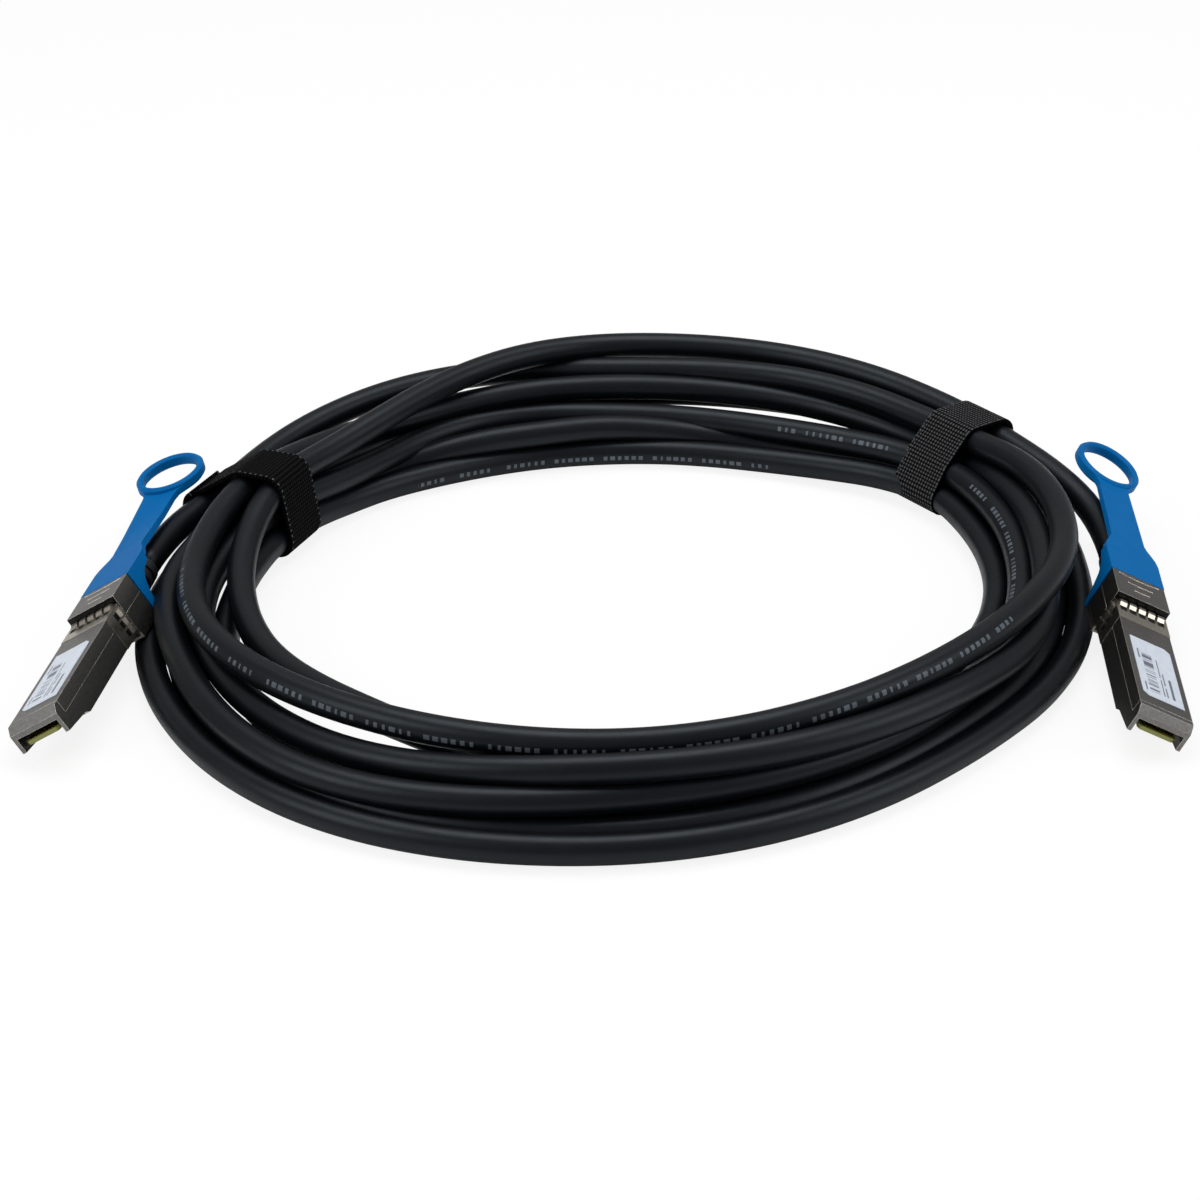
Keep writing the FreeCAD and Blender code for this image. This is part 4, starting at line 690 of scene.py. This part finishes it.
# the two tapes are the same black tape given two brightnesses: painted shade on the left one,
# painted light on the right one
for name, angle, start_share, overlap, slope, brightness in (
        ("tape_left", LEFT_TIE, 0.32, 0.16, 1.5, 0.012),
        ("tape_right", RIGHT_TIE, 0.30, 0.20, -1.5, 0.075)):
    tape = tie(name, angle, start_share, overlap, slope)
    tape.data.materials.append(weave_material(name + " weave", brightness))
    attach(tape, "cable_and_shells")
    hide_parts("tie_left" if angle == LEFT_TIE else "tie_right")


# ---------------------------------------------------------------- plugs
# metres within which corners are one, then angles in degrees
WELD = 2e-6
FLAT_WITHIN, EASED_ABOVE, SMOOTH_BELOW = 1.0, 32, 40


def softened(node, width, segments):
    """The rigid piece once more, with its sharp edges eased."""
    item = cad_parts[node].copy()
    item.data = item.data.copy()
    item.parent = None
    for key in list(item.keys()):
        del item[key]
    item.name = node + "_eased"
    item.data.name = item.name
    bpy.context.scene.collection.objects.link(item)
    item.matrix_world = Matrix.Identity(4)
    select_only(item)
    bpy.ops.object.mode_set(mode="EDIT")
    bpy.ops.mesh.select_all(action="SELECT")
    bpy.ops.mesh.remove_doubles(threshold=WELD)
    bpy.ops.mesh.dissolve_limited(angle_limit=math.radians(FLAT_WITHIN))
    bpy.ops.object.mode_set(mode="OBJECT")
    finish_modifier(item, "BEVEL", width=width * MM, segments=segments, limit_method="ANGLE",
                    angle_limit=math.radians(EASED_ABOVE), use_clamp_overlap=True)
    bpy.ops.object.shade_smooth_by_angle(angle=math.radians(SMOOTH_BELOW))
    finish_modifier(item, "WEIGHTED_NORMAL", keep_sharp=True)
    item.data.materials.clear()
    return item


spring_sheet = nickel_material("bright spring sheet", (0.45, 0.42, 0.36), 0.30, 0.03)
steel = nickel_material("stamped steel", (0.55, 0.54, 0.52), 0.32, 0.05)
gold = plain_material("gold contact", (0.75, 0.55, 0.18), 0.28, 1.0)
board = plain_material("board resist", (0.20, 0.21, 0.035), 0.35, 0.0, 0.6)
chip = plain_material("chip body", (0.012, 0.012, 0.012), 0.5)
capacitor = plain_material("capacitor body", (0.30, 0.20, 0.12), 0.45)
blue = plain_material("blue strap", (0.0, 0.118, 0.355), 0.5, 0.0, 0.05, 300, 0.12)
boot_rubber = plain_material("boot rubber", (0.010, 0.010, 0.011), 0.5, 0.0, 0.4)
foil = plain_material("foil wrap", (0.75, 0.75, 0.76), 0.3, 1.0)
core = plain_material("core insulation", (0.75, 0.75, 0.72), 0.4)
FINISHES = {"circuit_card": board, "contact_pads": gold, "memory_chip": chip,
            "coupling_capacitors": capacitor, "cover_screw": steel, "latch_lever": steel,
            "latch_pin": steel, "latch_spring": steel, "release_slider": spring_sheet,
            "cable_boot": boot_rubber, "crimp_ferrule": gold, "shielded_pairs": foil,
            "wire_cores": core, "emi_collar": spring_sheet}
# the casting's own colour, and the colour of the painted highlight along its edges
CAST_SHADE, EDGE_HIGHLIGHT_COLOUR = (0.175, 0.170, 0.163), (0.95, 0.88, 0.76)
for tag in PLUGS:
    cast = nickel_material("nickel casting " + tag, CAST_SHADE, 0.38, 0.16, EDGE_HIGHLIGHT_COLOUR, tag)
    for name, finish in FINISHES.items():
        redressed(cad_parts["%s_%s" % (name, tag)], finish)
    redressed(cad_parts["plug_label_" + tag], label_material(tag))
    for name, width, segments, finish, slot_name, body in (
            ("lower_housing", 0.14, 2, cast, "cast_shell", "cable_and_shells"),
            ("top_cover", 0.14, 2, cast, "cast_shell", "cable_and_shells"),
            ("pull_strap", 0.45, 3, blue, "blue_plastic", "pull_tab_" + tag)):
        piece = softened("%s_%s" % (name, tag), width, segments)
        piece.data.materials.append(finish)
        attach(piece, body)
        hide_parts("%s_%s" % (name, tag))

# ---------------------------------------------------------------- floor, light and background
FLOOR_SIZE, FLOOR_HEIGHT = 8, -0.0002
FLOOR_GLOW, AMBIENT, BACKDROP = 0.86, 0.34, 1.0
WHITE = (1, 1, 1, 1)


def blended_for_camera(tree, plain, seen, share, target):
    """Mix two shaders so that the camera's own rays see this share of the second."""
    rays = add(tree, "ShaderNodeLightPath")
    blend = add(tree, "ShaderNodeMixShader")
    tree.links.new(math_node(tree, "MULTIPLY", rays.outputs["Is Camera Ray"], share),
                   blend.inputs[0])
    tree.links.new(plain.outputs[0], blend.inputs[1])
    tree.links.new(seen.outputs[0], blend.inputs[2])
    tree.links.new(blend.outputs[0], target.inputs[0])


bpy.ops.object.select_all(action="DESELECT")
bpy.ops.mesh.primitive_plane_add(size=FLOOR_SIZE, location=(0, 0, FLOOR_HEIGHT))
floor = bpy.context.object
floor.name = "floor"
material, tree, surface = new_material("pale floor")
surface.inputs["Base Color"].default_value = (0.86, 0.86, 0.86, 1)
surface.inputs["Roughness"].default_value = 0.9
surface.inputs["Specular IOR Level"].default_value = 0.0
glow = add(tree, "ShaderNodeEmission")
glow.inputs["Color"].default_value = WHITE
blended_for_camera(tree, surface, glow, FLOOR_GLOW, tree.nodes["Material Output"])
floor.data.materials.append(material)

world = bpy.data.worlds.new("studio")
bpy.context.scene.world = world
world.use_nodes = True
tree = world.node_tree
ambient = tree.nodes["Background"]
ambient.inputs["Color"].default_value = WHITE
ambient.inputs["Strength"].default_value = AMBIENT
white = add(tree, "ShaderNodeBackground")
white.inputs["Color"].default_value = WHITE
white.inputs["Strength"].default_value = BACKDROP
blended_for_camera(tree, ambient, white, 1.0, tree.nodes["World Output"])

# name: place in metres, width and height in metres, watts
LIGHTS = {"overhead": ((0.0, 0.25, 1.1), (1.0, 0.7), 9.0),
          "left": ((-0.9, -0.5, 0.7), (0.6, 0.6), 5.0),
          "right": ((0.9, -0.2, 0.6), (0.5, 0.6), 3.0)}
LIGHT_AIM = Vector((0, 0, 0))
for name, (place, (width, height), power) in LIGHTS.items():
    data = bpy.data.lights.new(name, "AREA")
    data.shape = "RECTANGLE"
    data.size, data.size_y = width, height
    data.energy = power
    item = bpy.data.objects.new(name, data)
    item.location = place
    item.rotation_euler = (LIGHT_AIM - Vector(place)).to_track_quat("-Z", "Y").to_euler()
    bpy.context.scene.collection.objects.link(item)

bpy.context.scene.view_settings.view_transform = "Standard"
